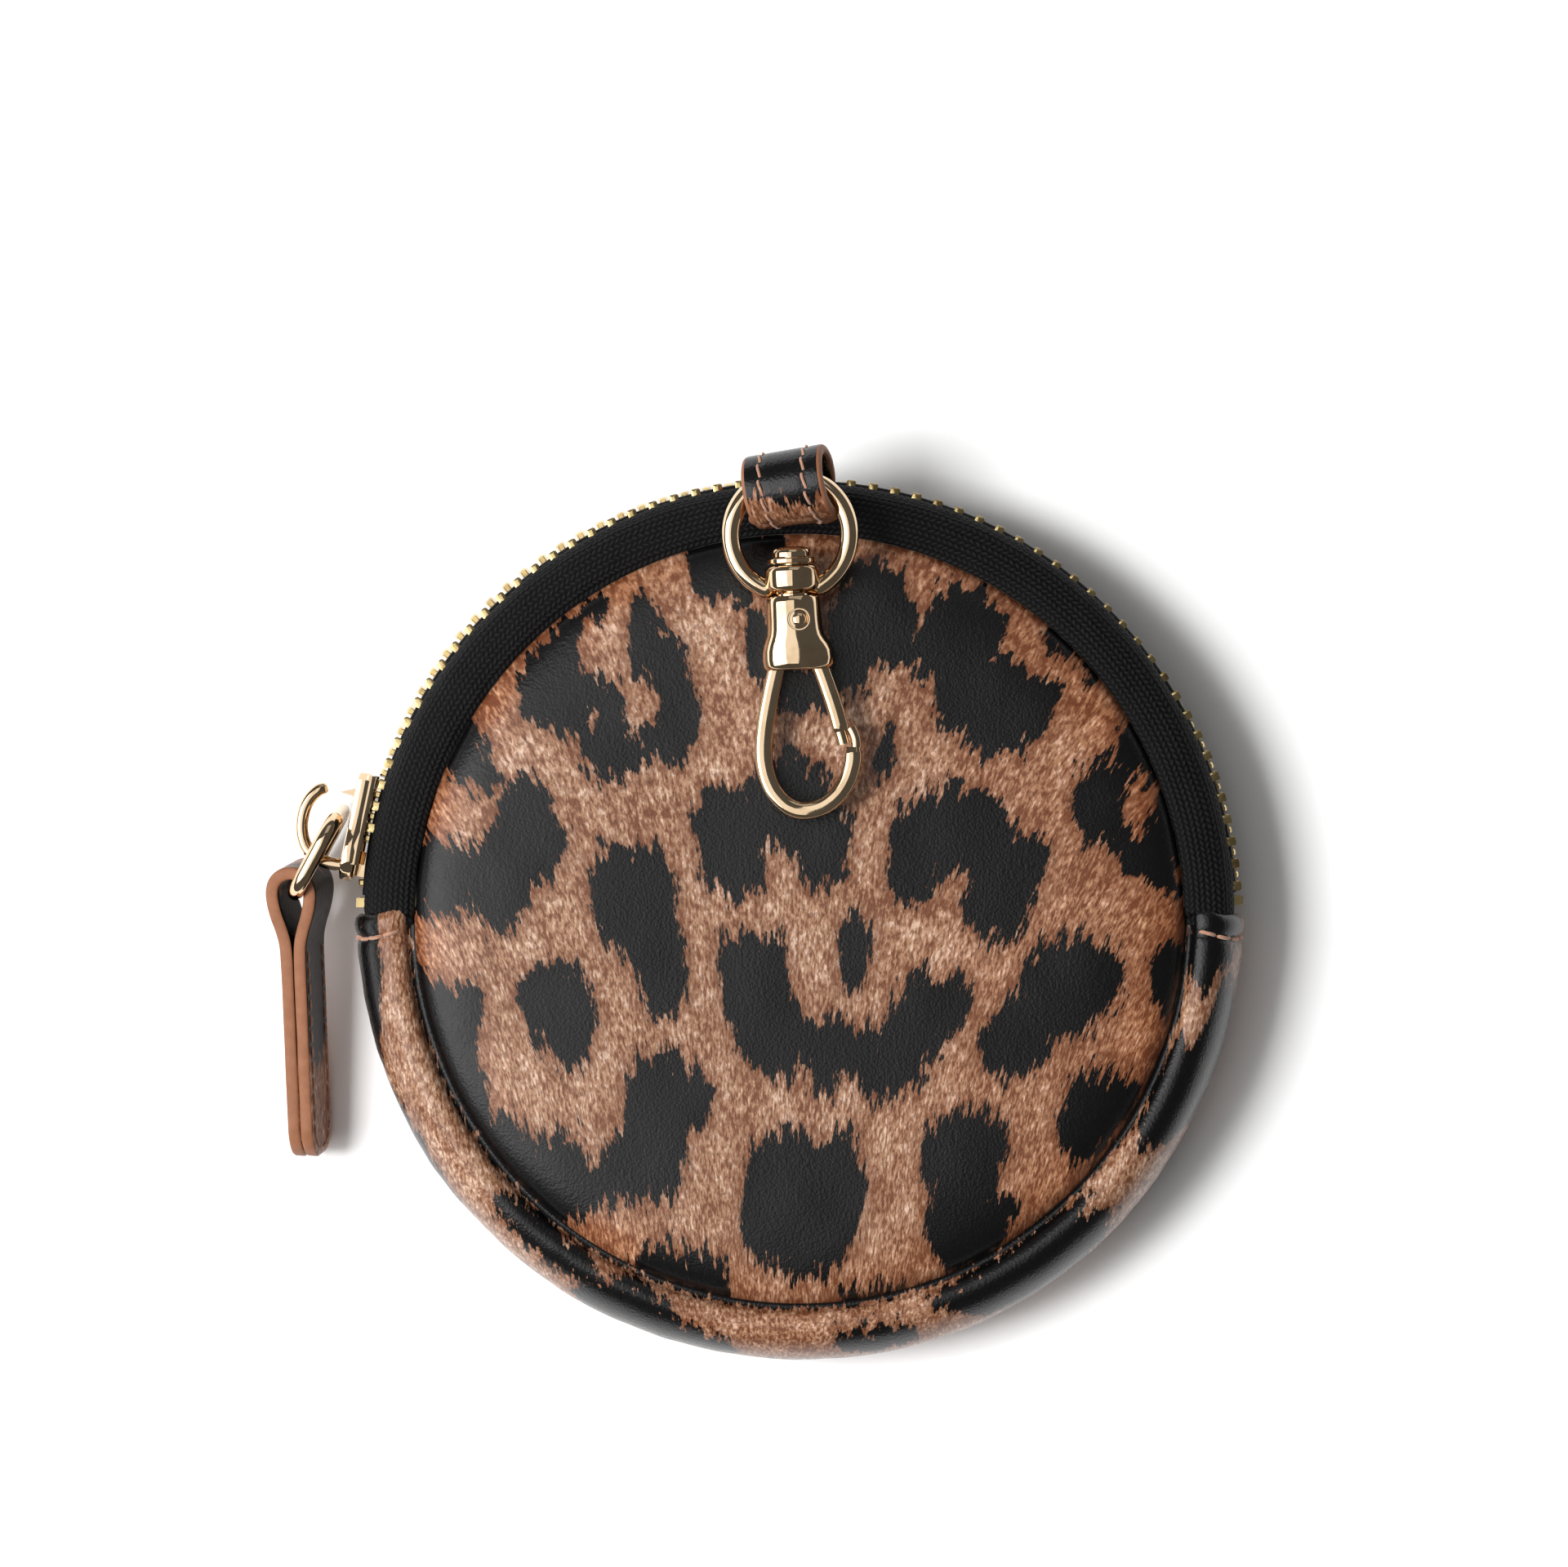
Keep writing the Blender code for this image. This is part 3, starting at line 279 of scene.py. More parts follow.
PANEL_SPOTS = [
    # top left rosette
    [(-35, 29), (-31, 35), (-24.5, 40.5), (-23.8, 38), (-26.5, 36.5), (-27.5, 33), (-26, 29.5), (-23, 29.5),
     (-21.5, 27.5), (-21.5, 24), (-20, 22), (-17.8, 24), (-17, 27.5), (-18.5, 29.5), (-20.5, 31), (-21, 35),
     (-20.5, 38.5), (-19.3, 39.8), (-17.5, 37.2), (-15, 34.5), (-13.7, 30.5), (-12.4, 25.5), (-12.8, 21.8),
     (-14, 19.8), (-16, 19.3), (-18, 20), (-19.8, 18), (-22.5, 17), (-25, 17.6), (-26.8, 20), (-27.3, 22.3),
     (-31, 23.8), (-34.2, 24.4), (-34.4, 27.5)],
    # top, beside the clip's ring
    [(-13.6, 46.5), (-13.3, 43), (-12, 40), (-9, 39.2), (-6.5, 39), (-4.4, 40.3), (-2.8, 41.4), (-2.2, 43.5),
     (-2.2, 48.5), (-10, 49)],
    # thin one left of the clip
    [(-6.3, 38), (-4.8, 38.3), (-3.5, 35), (-3.6, 31), (-4.8, 28.8), (-6, 29.5), (-6.6, 33)],
    # left edge
    [(-51, 17), (-44, 27), (-39.7, 22.5), (-37.8, 20.5), (-36.5, 17), (-38.5, 15.8), (-41.5, 16.4),
     (-44.6, 18.9), (-47, 19.5)],
    # left, above the middle
    [(-51, 10.5), (-44, 9.7), (-40, 9.5), (-37.8, 11), (-37, 14), (-35.8, 16.4), (-33.5, 17.8), (-30.8, 15.8),
     (-30.5, 13), (-28.8, 10.6), (-29, 7.8), (-30.6, 5.8), (-32.5, 4.4), (-33.4, 1.5), (-35.4, -1.2),
     (-38, -1), (-40.5, 0.6), (-44, 0.6), (-51, 1.5)],
    # diagonal one
    [(-25.5, 5.5), (-24.3, 8.3), (-20, 9), (-17, 8.2), (-15.4, 4.6), (-15, 0), (-14.2, -4), (-13.7, -8),
     (-14.6, -10.8), (-17.3, -12), (-18.8, -10.5), (-20, -7.4), (-21.8, -4.8), (-24, -2.6), (-25.4, 0.8)],
    # under the hook
    [(-13.3, 12.5), (-12, 15.2), (-10, 16.7), (-7.7, 15.8), (-5.8, 17.5), (-3.5, 19.8), (-0.5, 21.3), (1, 19),
     (3.5, 17), (4.5, 14), (6.3, 12.2), (6.4, 8.8), (5, 5.4), (3, 4), (1, 5), (-0.5, 7), (-2.2, 9.2),
     (-4, 8.3), (-4.4, 5.8), (-5.6, 3.5), (-8.4, 2.7), (-10.8, 4), (-12.2, 7), (-13, 9.8)],
    # inside the hook, top
    [(-3, 31), (2.5, 31), (4, 26.5), (1.5, 25.2), (-1.8, 25.5), (-3, 27)],
    # right of the hook, small
    [(10.3, 22.4), (11.5, 23), (11.7, 20), (10.8, 17.2), (9.6, 17.6), (9.2, 20)],
    # top centre right
    [(5, 41.5), (8, 43), (11.5, 44), (12.8, 42), (13.3, 39), (14.5, 37.5), (14, 34.6), (15.3, 38),
     (17.5, 40.3), (20.5, 41.5), (22, 40.2), (24, 39), (25.2, 37), (25, 34.6), (24.3, 32.7), (26.5, 31.4),
     (28.5, 30), (31, 29.8), (32, 28.5), (31.4, 26), (29.6, 23), (28, 21.2), (25.5, 20.4), (23.3, 20),
     (20.6, 21.7), (18, 23), (16.8, 25.5), (16, 29), (15, 30.6), (12.5, 31), (9.8, 31.2), (8, 28.8),
     (6, 27.6), (4, 30), (3.6, 36)],
    # far top right, by the tape
    [(27, 43), (30, 40.6), (31, 37), (30.2, 34.2), (31.5, 33), (34, 32.6), (34.6, 31), (36.3, 29.3),
     (38.2, 29.8), (41, 27), (40, 34), (34, 40)],
    # right rosette
    [(40, 23.8), (43.5, 22), (46, 16), (48.5, 9), (48, 7.2), (47, 7.6), (45.6, 4.6), (43.8, 3), (42, 4),
     (39.6, 5.8), (38.8, 8), (37.3, 9.8), (35.2, 9.4), (34, 12), (33.4, 14.5), (34.5, 17), (36.2, 18.9),
     (38.4, 20.4)],
    # right of the middle, a hook shape
    [(11.6, 12.4), (13.3, 14.6), (16.4, 15.8), (19, 16.6), (21.8, 16), (24, 14.4), (25.8, 12), (28.2, 10),
     (30.6, 9.2), (30.3, 6.6), (29.3, 3.3), (27.8, 0), (26, -2.4), (23.4, -3), (21.4, -1.5), (20, 0.6),
     (19.6, 2.8), (21, 4.6), (19, 6), (17.2, 4.9), (15.8, 3), (13.6, 2), (11.4, 2.8), (10.6, 5.5), (11.2, 9)],
    # small one in the middle
    [(5, -0.5), (7.2, 1), (8.8, -1), (8.8, -4), (7.6, -7.5), (6.2, -9.3), (5, -7.5), (4.8, -3.5)],
    # the long curved one in the middle
    [(-9.8, -3), (-6, -2), (-2.5, -2.6), (-1.5, -5.5), (-0.7, -10), (1.5, -12), (5, -12.3), (8.5, -13.6),
     (11, -12.3), (12, -9.6), (14, -7.3), (17, -6.7), (19.8, -7.4), (21.4, -9.4), (20.4, -12.2),
     (18.4, -15.2), (15.8, -17.8), (14.2, -20.3), (11.4, -21.6), (8.5, -22.3), (7.2, -20.3), (5, -19.8),
     (3.6, -20.8), (1.8, -20.4), (0.6, -18.4), (-1.8, -19.4), (-5, -18.6), (-7.3, -15.8), (-9, -12),
     (-9.6, -8)],
    # right
    [(29, -3.6), (31, -2.3), (34, -2.1), (37, -3), (39.3, -4.8), (40, -7.5), (38.4, -10.4), (36, -13),
     (33.2, -14.8), (30.4, -16.8), (28.2, -18.8), (25.6, -19.8), (23, -18.8), (22, -16), (22.6, -13),
     (25, -10.4), (27.3, -8), (27.6, -5.4)],
    # right edge, low
    [(43.5, -4), (46.5, -2.5), (47.5, -6), (46.5, -12), (44.5, -11), (43.2, -8)],
    # lower right
    [(33.8, -20), (36, -18.6), (39.5, -19), (41.8, -20.4), (41, -24), (38, -27.6), (35.6, -30.2),
     (33.2, -29.6), (31.8, -27), (32, -23.4)],
    # bottom right centre
    [(15.4, -26), (18, -24.4), (20.5, -23.3), (23.4, -23.8), (25, -25.6), (25.8, -28), (24.6, -31),
     (24.2, -33.6), (26.4, -34.4), (27.4, -36), (25.4, -38.6), (24.5, -41), (20, -43.8), (16.4, -41.8),
     (15.4, -38), (16.2, -34), (15, -30.4)],
    # bottom centre oval
    [(-1.5, -25.6), (2, -27), (5.6, -26.4), (7, -28.6), (8.3, -31.6), (8, -35), (6.8, -39), (4.2, -42.8),
     (0.5, -44.2), (-3, -43.4), (-6.4, -41), (-7.3, -37), (-6.8, -33), (-6.4, -29), (-4.6, -27.2)],
    # bottom, at the rim
    [(-22, -43), (-19, -41.2), (-16, -40), (-12.4, -41), (-9.4, -42.4), (-8.8, -48), (-14, -49), (-22, -46)],
    [(5, -46), (10, -45.2), (16, -46), (12, -48), (6, -48.5)],
    # large lower left, along the rim
    [(-50, -4), (-47, -5.6), (-45, -7), (-43.4, -8.3), (-40.6, -7.4), (-39, -9.4), (-39.4, -13), (-39.6, -17),
     (-38.4, -21), (-37.6, -25), (-35.8, -23.6), (-34.6, -25.6), (-32.4, -27.4), (-30.5, -26), (-28, -26.5),
     (-26.4, -28.8), (-24.4, -29.6), (-23.4, -26.6), (-21.6, -25), (-21.4, -21.8), (-20.8, -18.6),
     (-18.4, -16.2), (-15, -16.8), (-12.2, -18.8), (-10.7, -21), (-11.5, -24.8), (-13.6, -26.4),
     (-14.2, -30.4), (-15.4, -33.8), (-19, -35), (-22.6, -34.6), (-26, -36.4), (-28.6, -37.4), (-31, -40),
     (-39, -34), (-45, -26), (-50, -15)],
    # left, below the middle: the oval
    [(-34.7, -8.6), (-33, -6), (-30.4, -5.3), (-27.6, -6), (-25.8, -8.4), (-25, -12), (-25.6, -15.4),
     (-27.2, -18.4), (-29.8, -17.6), (-32, -15), (-33.8, -12.4)],
    # tiny, upper right of the middle, by the tape
    [(44.2, 4.6), (46, 5.5), (47.6, 3.5), (46, 2.6)],
]
PANEL_ISLANDS = [
    # brown inside the top left rosette
    [(-26.5, 31), (-25.4, 33.5), (-23.4, 32.2), (-24, 30.2), (-25.6, 29.6)],
    [(-26, 25.6), (-25, 25), (-25.6, 23.6), (-26.6, 24.2)],
    # brown inside the right rosette
    [(41, 16.8), (42.6, 17.6), (44, 16.4), (43.8, 14), (42.4, 11.6), (41, 10.8), (39.6, 12.4), (39.8, 15)],
]


# Materials

class Nodes:
    """A material's node tree, with short calls for the nodes the print needs."""

    def __init__(self, name, color=(0.5, 0.5, 0.5), roughness=0.5, metallic=0.0):
        self.material = bpy.data.materials.new(name)
        self.material.use_nodes = True
        self.tree = self.material.node_tree
        self.shader = self.tree.nodes["Principled BSDF"]
        self.set(color=color, roughness=roughness, metallic=metallic)

    def set(self, color=None, roughness=None, metallic=None, **named):
        for key, value in (("Base Color", color), ("Roughness", roughness), ("Metallic", metallic)):
            if value is not None:
                self.put(self.shader.inputs[key], value)
        for key, value in named.items():
            self.put(self.shader.inputs[key.replace("_", " ")], value)

    def put(self, socket, value):
        """Links a node's output, or sets the socket's own value."""
        if isinstance(value, bpy.types.NodeSocket):
            self.tree.links.new(value, socket)
        elif isinstance(value, tuple) and len(value) == 3 and len(socket.default_value) == 4:
            socket.default_value = (*value, 1.0)
        else:
            socket.default_value = value

    def node(self, kind, inputs=(), **settings):
        made = self.tree.nodes.new(kind)
        for key, value in settings.items():
            setattr(made, key, value)
        for key, value in dict(inputs).items():
            self.put(made.inputs[key], value)
        return made

    def attribute(self, name, vector=False):
        """A point attribute of the mesh."""
        made = self.node("ShaderNodeAttribute", attribute_name=name)
        return made.outputs["Vector" if vector else "Fac"]

    def object_point(self):
        return self.node("ShaderNodeTexCoord").outputs["Object"]

    def scaled(self, vector, scale, offset=(0, 0, 0)):
        made = self.node("ShaderNodeMapping", {"Vector": vector})
        made.inputs["Scale"].default_value = scale
        made.inputs["Location"].default_value = offset
        return made.outputs["Vector"]

    def noise(self, vector, scale=1.0, detail=2.0, roughness=0.5):
        return self.node("ShaderNodeTexNoise", {"Vector": vector, "Scale": scale, "Detail": detail,
                                               "Roughness": roughness}).outputs["Fac"]

    def math(self, operation, a, b=0.0):
        return self.node("ShaderNodeMath", {0: a, 1: b}, operation=operation).outputs[0]

    def mix(self, share, a, b):
        """Between two colours or two numbers."""
        is_color = any(isinstance(v, tuple) or (isinstance(v, bpy.types.NodeSocket) and v.type == "RGBA")
                       for v in (a, b))
        made = self.tree.nodes.new("ShaderNodeMix")
        made.data_type = "RGBA" if is_color else "FLOAT"
        sockets = [s for s in made.inputs if s.enabled]
        for socket, value in zip(sockets, (share, a, b)):
            self.put(socket, value)
        return [s for s in made.outputs if s.enabled][0]

    def steps(self, value, low, high, to_low=0.0, to_high=1.0):
        """A smooth step from low to high."""
        inputs = {"Value": value, "From Min": low, "From Max": high, "To Min": to_low, "To Max": to_high}
        return self.node("ShaderNodeMapRange", inputs, interpolation_type="SMOOTHSTEP").outputs["Result"]

    def bump(self, height, distance, strength=1.0):
        """Bumps whose height is distance times the given 0 to 1 value, in metres."""
        return self.node("ShaderNodeBump", {"Height": height, "Distance": distance,
                                           "Strength": strength}).outputs["Normal"]


def srgb(r, g, b):
    """Linear colour of an sRGB one given from 0 to 255."""
    return tuple((c / 255 / 12.92) if c <= 10 else ((c / 255 + 0.055) / 1.055) ** 2.4 for c in (r, g, b))


def make_printed_leather(name, gloss=0.34, shine=0.45, grain=0.00004, streaks=0.000012):
    """Leopard-printed leather. The point attribute print holds (distance to the black in mm, how quickly that
    changes along the fur, how far the brown is darkened towards amber: painted shade on the panels' right side and
    rim, the leather's own tone on the gusset and straps); fur holds (across, along, 0) in mm."""
    n = Nodes(name)
    parts = n.node("ShaderNodeSeparateXYZ", {0: n.attribute("print", True)})
    distance, slope, amber_and_shade = parts.outputs[0], parts.outputs[1], parts.outputs[2]
    fur = n.attribute("fur", True)
    hair = n.noise(n.scaled(fur, (2.2, 0.45, 1)), 1.0, 3.0, 0.6)
    tuft = n.noise(n.scaled(fur, (0.75, 0.20, 1), (3.1, 7.7, 0)), 1.0, 2.0, 0.5)
    fine = n.noise(n.scaled(fur, (3.6, 1.1, 1), (1.7, 0.3, 0)), 1.0, 2.0, 0.6)
    reach = n.math("ADD", n.math("MULTIPLY", n.math("SUBTRACT", hair, 0.5), 8.5),
                   n.math("MULTIPLY", n.math("SUBTRACT", tuft, 0.5), 7.0))
    ragged = n.math("MULTIPLY", reach, n.math("ADD", n.math("MULTIPLY", n.math("ABSOLUTE", slope), 0.95), 0.14))
    ragged = n.math("ADD", ragged, n.math("MULTIPLY", n.math("SUBTRACT", fine, 0.5), 1.5))
    edge = n.math("ADD", distance, ragged)
    brown = n.steps(edge, -0.15, 0.30)
    near_spot = n.steps(edge, 0.1, 2.6)

    patch = n.noise(n.scaled(fur, (0.20, 0.13, 1), (9, 2, 0)), 1.0, 3.0, 0.6)
    mottle = n.noise(n.scaled(fur, (0.8, 0.35, 1), (4, 5, 0)), 1.0, 2.0, 0.55)
    strand = n.noise(n.scaled(fur, (2.7, 0.80, 1), (2, 9, 0)), 1.0, 2.5, 0.62)
    dashes = n.noise(n.scaled(fur, (2.5, 1.05, 1), (6, 1, 0)), 1.0, 1.5, 0.5)
    light = n.math("ADD", n.math("MULTIPLY", patch, 0.26), n.math("MULTIPLY", mottle, 0.22))
    light = n.math("ADD", light, n.math("MULTIPLY", strand, 0.52))
    light = n.math("SUBTRACT", light, n.math("MULTIPLY", amber_and_shade, 0.035))
    deep, mid, pale = srgb(108, 67, 45), srgb(160, 121, 94), srgb(210, 180, 159)
    color = n.mix(n.steps(light, 0.42, 0.51), deep, mid)
    color = n.mix(n.steps(light, 0.51, 0.62), color, pale)
    color = n.mix(n.math("MULTIPLY", n.steps(dashes, 0.50, 0.60), 0.60), color, srgb(98, 56, 35))
    # the brown darkened towards amber: painted shade on the panels' right side and rim, the leather's own tone on the
    # gusset and straps
    amber = n.node("ShaderNodeMix", {6: color, 7: srgb(255, 205, 160)}, data_type="RGBA", blend_type="MULTIPLY")
    n.put(amber.inputs[0], n.math("MULTIPLY", amber_and_shade, 0.9))
    color = amber.outputs[2]
    color = n.mix(n.math("MULTIPLY", n.math("SUBTRACT", 1.0, near_spot), 0.55), color, srgb(104, 60, 36))
    black = n.mix(n.steps(fine, 0.35, 0.75), srgb(5, 5, 6), srgb(11, 10, 11))
    color = n.mix(brown, black, color)

    point = n.object_point()
    cells = n.node("ShaderNodeTexVoronoi", {"Vector": point, "Scale": 2900.0}, feature="F1").outputs["Distance"]
    creases = n.noise(n.scaled(point, (2600.0, 900.0, 1700.0)), 1.0, 3.0, 0.6)
    shift = n.noise(point, 120.0, 2.0)
    height = n.math("ADD", n.math("MULTIPLY", cells, 0.7),
                    n.math("MULTIPLY", creases, n.steps(shift, 0.40, 0.62, 0.2, 0.9)))
    first = n.bump(height, grain)
    second = n.node("ShaderNodeBump", {"Height": strand, "Distance": streaks, "Normal": first})
    rough = n.math("ADD", gloss - 0.08, n.math("MULTIPLY", creases, 0.16))
    n.set(color=color, roughness=rough, Specular_IOR_Level=shine)
    n.shader.inputs["Coat Weight"].default_value = 0.08
    n.shader.inputs["Coat Roughness"].default_value = 0.28
    n.put(n.shader.inputs["Normal"], second.outputs["Normal"])
    return n.material


def make_metal(name, color, dark, roughness):
    """Polished plated metal with faint wear: slightly duller and darker in small patches."""
    n = Nodes(name, color, roughness, 1.0)
    point = n.object_point()
    cloud = n.noise(point, 260.0, 4.0, 0.6)
    scratch = n.noise(n.scaled(point, (900.0, 5200.0, 900.0)), 1.0, 2.0, 0.6)
    n.set(color=n.mix(n.steps(cloud, 0.45, 0.75), color, dark),
          roughness=n.math("ADD", roughness, n.math("MULTIPLY", n.steps(scratch, 0.5, 0.8), 0.05)))
    n.put(n.shader.inputs["Normal"], n.bump(n.noise(point, 420.0, 2.0), 0.000012, 0.6))
    return n.material


def make_cloth(name, color, light, scale, height):
    """Woven cloth on the attribute weave, in mm along and across."""
    n = Nodes(name, color, 0.85)
    weave = n.attribute("weave", True)
    parts = n.node("ShaderNodeSeparateXYZ", {0: weave})
    along = n.math("SINE", n.math("MULTIPLY", parts.outputs[0], scale))
    across = n.math("SINE", n.math("MULTIPLY", parts.outputs[1], scale))
    cross = n.math("MULTIPLY", along, across)
    fuzz = n.noise(n.scaled(weave, (4.0, 4.0, 1)), 1.0, 4.0, 0.7)
    level = n.math("ADD", n.math("MULTIPLY", cross, 0.3), fuzz)
    n.set(color=n.mix(n.steps(level, 0.35, 0.85), color, light), Sheen_Weight=0.3)
    n.put(n.shader.inputs["Normal"], n.bump(level, height))
    return n.material


def make_tape_cloth():
    """The zip's black knitted tape: its yarns are in the mesh, its fibres are here; the yarns' raised tops are painted
    lighter and the grooves between them darker, a painted sheen and painted shade.
    """
    n = Nodes("zip_tape_cloth", (0.01, 0.01, 0.011), 0.6)
    fibres = n.noise(n.scaled(n.attribute("weave", True), (9.0, 16.0, 1)), 1.0, 3.0, 0.7)
    relief = n.attribute("relief")
    # painted sheen and shade: lighter where the yarns' relief is high, darker in the grooves
    level = n.math("ADD", n.math("MULTIPLY", fibres, 0.4), n.math("MULTIPLY", relief, 0.6))
    n.set(color=n.mix(n.steps(level, 0.42, 0.88), srgb(1, 1, 1), srgb(31, 30, 32)), Specular_IOR_Level=0.28)
    n.put(n.shader.inputs["Normal"], n.bump(fibres, 0.00005))
    return n.material


def make_painted_edge():
    n = Nodes("edge_paint", srgb(150, 96, 62), 0.55)
    point = n.object_point()
    n.set(color=n.mix(n.noise(point, 700.0, 3.0), srgb(122, 77, 50), srgb(154, 103, 74)))
    n.put(n.shader.inputs["Normal"], n.bump(n.noise(point, 1500.0, 3.0), 0.00004))
    return n.material


def make_thread():
    n = Nodes("tan_thread", srgb(176, 124, 96), 0.75)
    point = n.object_point()
    n.set(color=n.mix(n.noise(point, 2500.0, 3.0), srgb(128, 82, 60), srgb(206, 158, 130)), Sheen_Weight=0.3)
    n.put(n.shader.inputs["Normal"], n.bump(n.noise(point, 5000.0, 2.0), 0.00004))
    return n.material


def make_board():
    n = Nodes("grey_board", (0.3, 0.25, 0.2), 0.85)
    point = n.object_point()
    n.set(color=n.mix(n.noise(point, 900.0, 5.0, 0.7), srgb(120, 100, 80), srgb(165, 145, 120)))
    n.put(n.shader.inputs["Normal"], n.bump(n.noise(point, 1800.0, 4.0), 0.00006))
    return n.material


LEATHER = make_printed_leather("printed_leather_panel")
GUSSET_LEATHER = make_printed_leather("printed_leather_gusset", 0.29)
TAB_LEATHER = make_printed_leather("printed_leather_tab", 0.42, 0.2)
GOLD = make_metal("pale_gold_metal", (0.80, 0.60, 0.39), (0.66, 0.47, 0.28), 0.06)
BRASS = make_metal("brass_metal", srgb(228, 203, 146), srgb(160, 132, 84), 0.16)
TAPE = make_tape_cloth()
LINING = make_cloth("lining_cloth", srgb(20, 20, 22), srgb(36, 36, 40), 14.0, 0.00006)
EDGE = make_painted_edge()
THREAD = make_thread()
BOARD = make_board()


def fur_of(x, y):
    """(across, along) of the fur's direction on the panels, in mm: upright in the middle, fanning to the right."""
    lean = np.tan(0.03 + 0.0095 * x)
    return x - y * lean, y


def print_on_panel(x, y, spots, islands):
    """The print and fur attributes at points of a panel."""
    field = spot_field(x, y, spots, islands)
    slope = print_slope(field, spot_field(x, y + FUR_STEP, spots, islands))
    r = np.hypot(x, y)
    # painted shade: the brown is darkened towards amber on the right, away from the lamps, and towards the rolled rim,
    # more on the left part of the rim
    amber_and_shade = np.clip((x - 5) / 45, 0, 1) * 0.5 + np.clip((r - 40) / 8, 0, 1) * 0.45
    amber_and_shade = np.where((x < -20) & (r > 44), amber_and_shade + 0.2, amber_and_shade)
    u, v = fur_of(x, y)
    return np.stack([field, slope, np.clip(amber_and_shade, 0, 1)], -1), np.stack([u, v, 0 * u], -1)


# The front and back panels

def revolve(profile, steps, relief, raised):
    """(points, faces) of a closed body of revolution: profile is (r, z) from the middle of one face round the edge to
    the middle of the other; relief(x, y, r) raises the profile's first few points, as many as raised says."""
    a = circle_angles(steps)
    r, z = profile[:, :1], profile[:, 1:]
    x, y = r * np.cos(a), r * np.sin(a)
    lift = relief(x, y, r)
    lift[raised:] = 0
    z = z + lift
    points = np.vstack([np.stack([x, y, z], -1).reshape(-1, 3), [(0, 0, z[0].mean()), (0, 0, z[-1].mean())]])
    n = len(profile)
    first, last = n * steps, (n - 1) * steps
    faces = grid_faces(n, steps)
    faces += [[first, i, (i + 1) % steps] for i in range(steps)]
    faces += [[first + 1, last + (i + 1) % steps, last + i] for i in range(steps)]
    return points, faces


def disc(name, outer, inner, steps, spots, islands, relief=lambda x, y, r: 0 * x):
    """A panel's leather. outer and inner are (r, z) from the middle to the edge; relief raises the outer face."""
    points, faces = revolve(np.vstack([outer, inner[::-1]]), steps, relief, len(outer))
    if outer[0, 1] < inner[0, 1]:
        faces = [f[::-1] for f in faces]
    marks, fur = print_on_panel(points[:, 0], points[:, 1], spots, islands)
    # the leather's back is plain black
    marks[len(outer) * steps:-2, 0] = BLACK
    marks[-1, 0] = BLACK
    return new_object(name, points, faces, LEATHER, 70.0, **{"print": marks, "fur": fur})


def panel_profile(line, step=LINE_STEP):
    """(outer, inner) profiles of a panel: a crowned face, a rounded shoulder and a rolled edge."""
    line = smooth_line(line, step)
    start = 0.45
    outer = np.vstack([[start, line[0, 1]], line[line[:, 0] > start]])
    inner = (outer - left_normals(outer) * LEATHER_THICKNESS)[::4]
    return outer, inner[inner[:, 0] > start]


def front_relief(x, y, r):
    """Unevenness of the front panel: soft dents that fade out before its rolled edge."""
    dents = 0.10 * hash_noise(x / 13, y / 13, 1) + 0.05 * hash_noise(x / 5, y / 5, 2) - 0.05
    return dents * np.clip((47.3 - r) / 3.0, 0, 1)


# (r, z) lines of the panels' outer faces
FRONT_LINE = [(0, 20.75), (12, 20.72), (24, 20.6), (32, 20.4), (38, 20.1), (42, 19.7), (44.6, 19.15), (46.2, 18.4),
              (47.1, 17.5), (47.5, 16.7)]
BACK_LINE = [(0, 0.0), (30, 0.0), (43.6, 0.0), (45.4, 0.3), (46.9, 1.1), (47.7, 2.2), (47.95, 3.3)]
BACK_PRINT = 0.97  # of the front's size, and turned over


def make_panels():
    outer, inner = panel_profile(FRONT_LINE)
    inner = np.vstack([inner[inner[:, 0] < 45.9], [(46.3, 16.9)]])
    panel = disc("front_panel", outer, inner, 640, PANEL_SPOTS, PANEL_ISLANDS, front_relief)
    belongs(panel, "mouth", "printed_leather", "front_panel_lower", "front_panel_upper")
    outer, inner = panel_profile(BACK_LINE, 0.6)
    inner[:, 1] = np.maximum(inner[:, 1], LEATHER_THICKNESS)
    inner = np.vstack([inner[inner[:, 0] < 46.6], [(46.75, 3.3)]])
    spots, islands = ([[(-x * BACK_PRINT, y * BACK_PRINT) for x, y in o] for o in marks]
                      for marks in (PANEL_SPOTS, PANEL_ISLANDS))
    belongs(disc("back_panel_leather", outer, inner, 480, spots, islands), "purse", "printed_leather", "back_panel")


def make_inside(name, low, high, radius, material, slot, body, *nodes):
    """A board or a lining: a thin disc between two heights, rippled if it is cloth. Those on the mouth sag at their
    edge with the front panel."""
    ripple = 0.12 if material is LINING else 0.0
    sag = 1.0 if body == "mouth" else 0.0

    def relief(x, y, r):
        cloth = ripple * hash_noise(x / 7, y / 7, 3) * np.clip((45 - r) / 4, 0, 1)
        return cloth - sag * np.clip((r - 26) / 20, 0, 1) ** 2

    r = np.linspace(0.6, radius, 60)
    under = r[::3]
    profile = np.vstack([np.stack([r, np.full_like(r, high)], 1),
                         np.stack([under, np.full_like(under, low)], 1)[::-1]])
    points, faces = revolve(profile, 240, relief, len(profile))
    made = new_object(name, points, faces, material, 40.0, weave=points * (1, 1, 0))
    belongs(made, body, slot, *nodes)
    return made


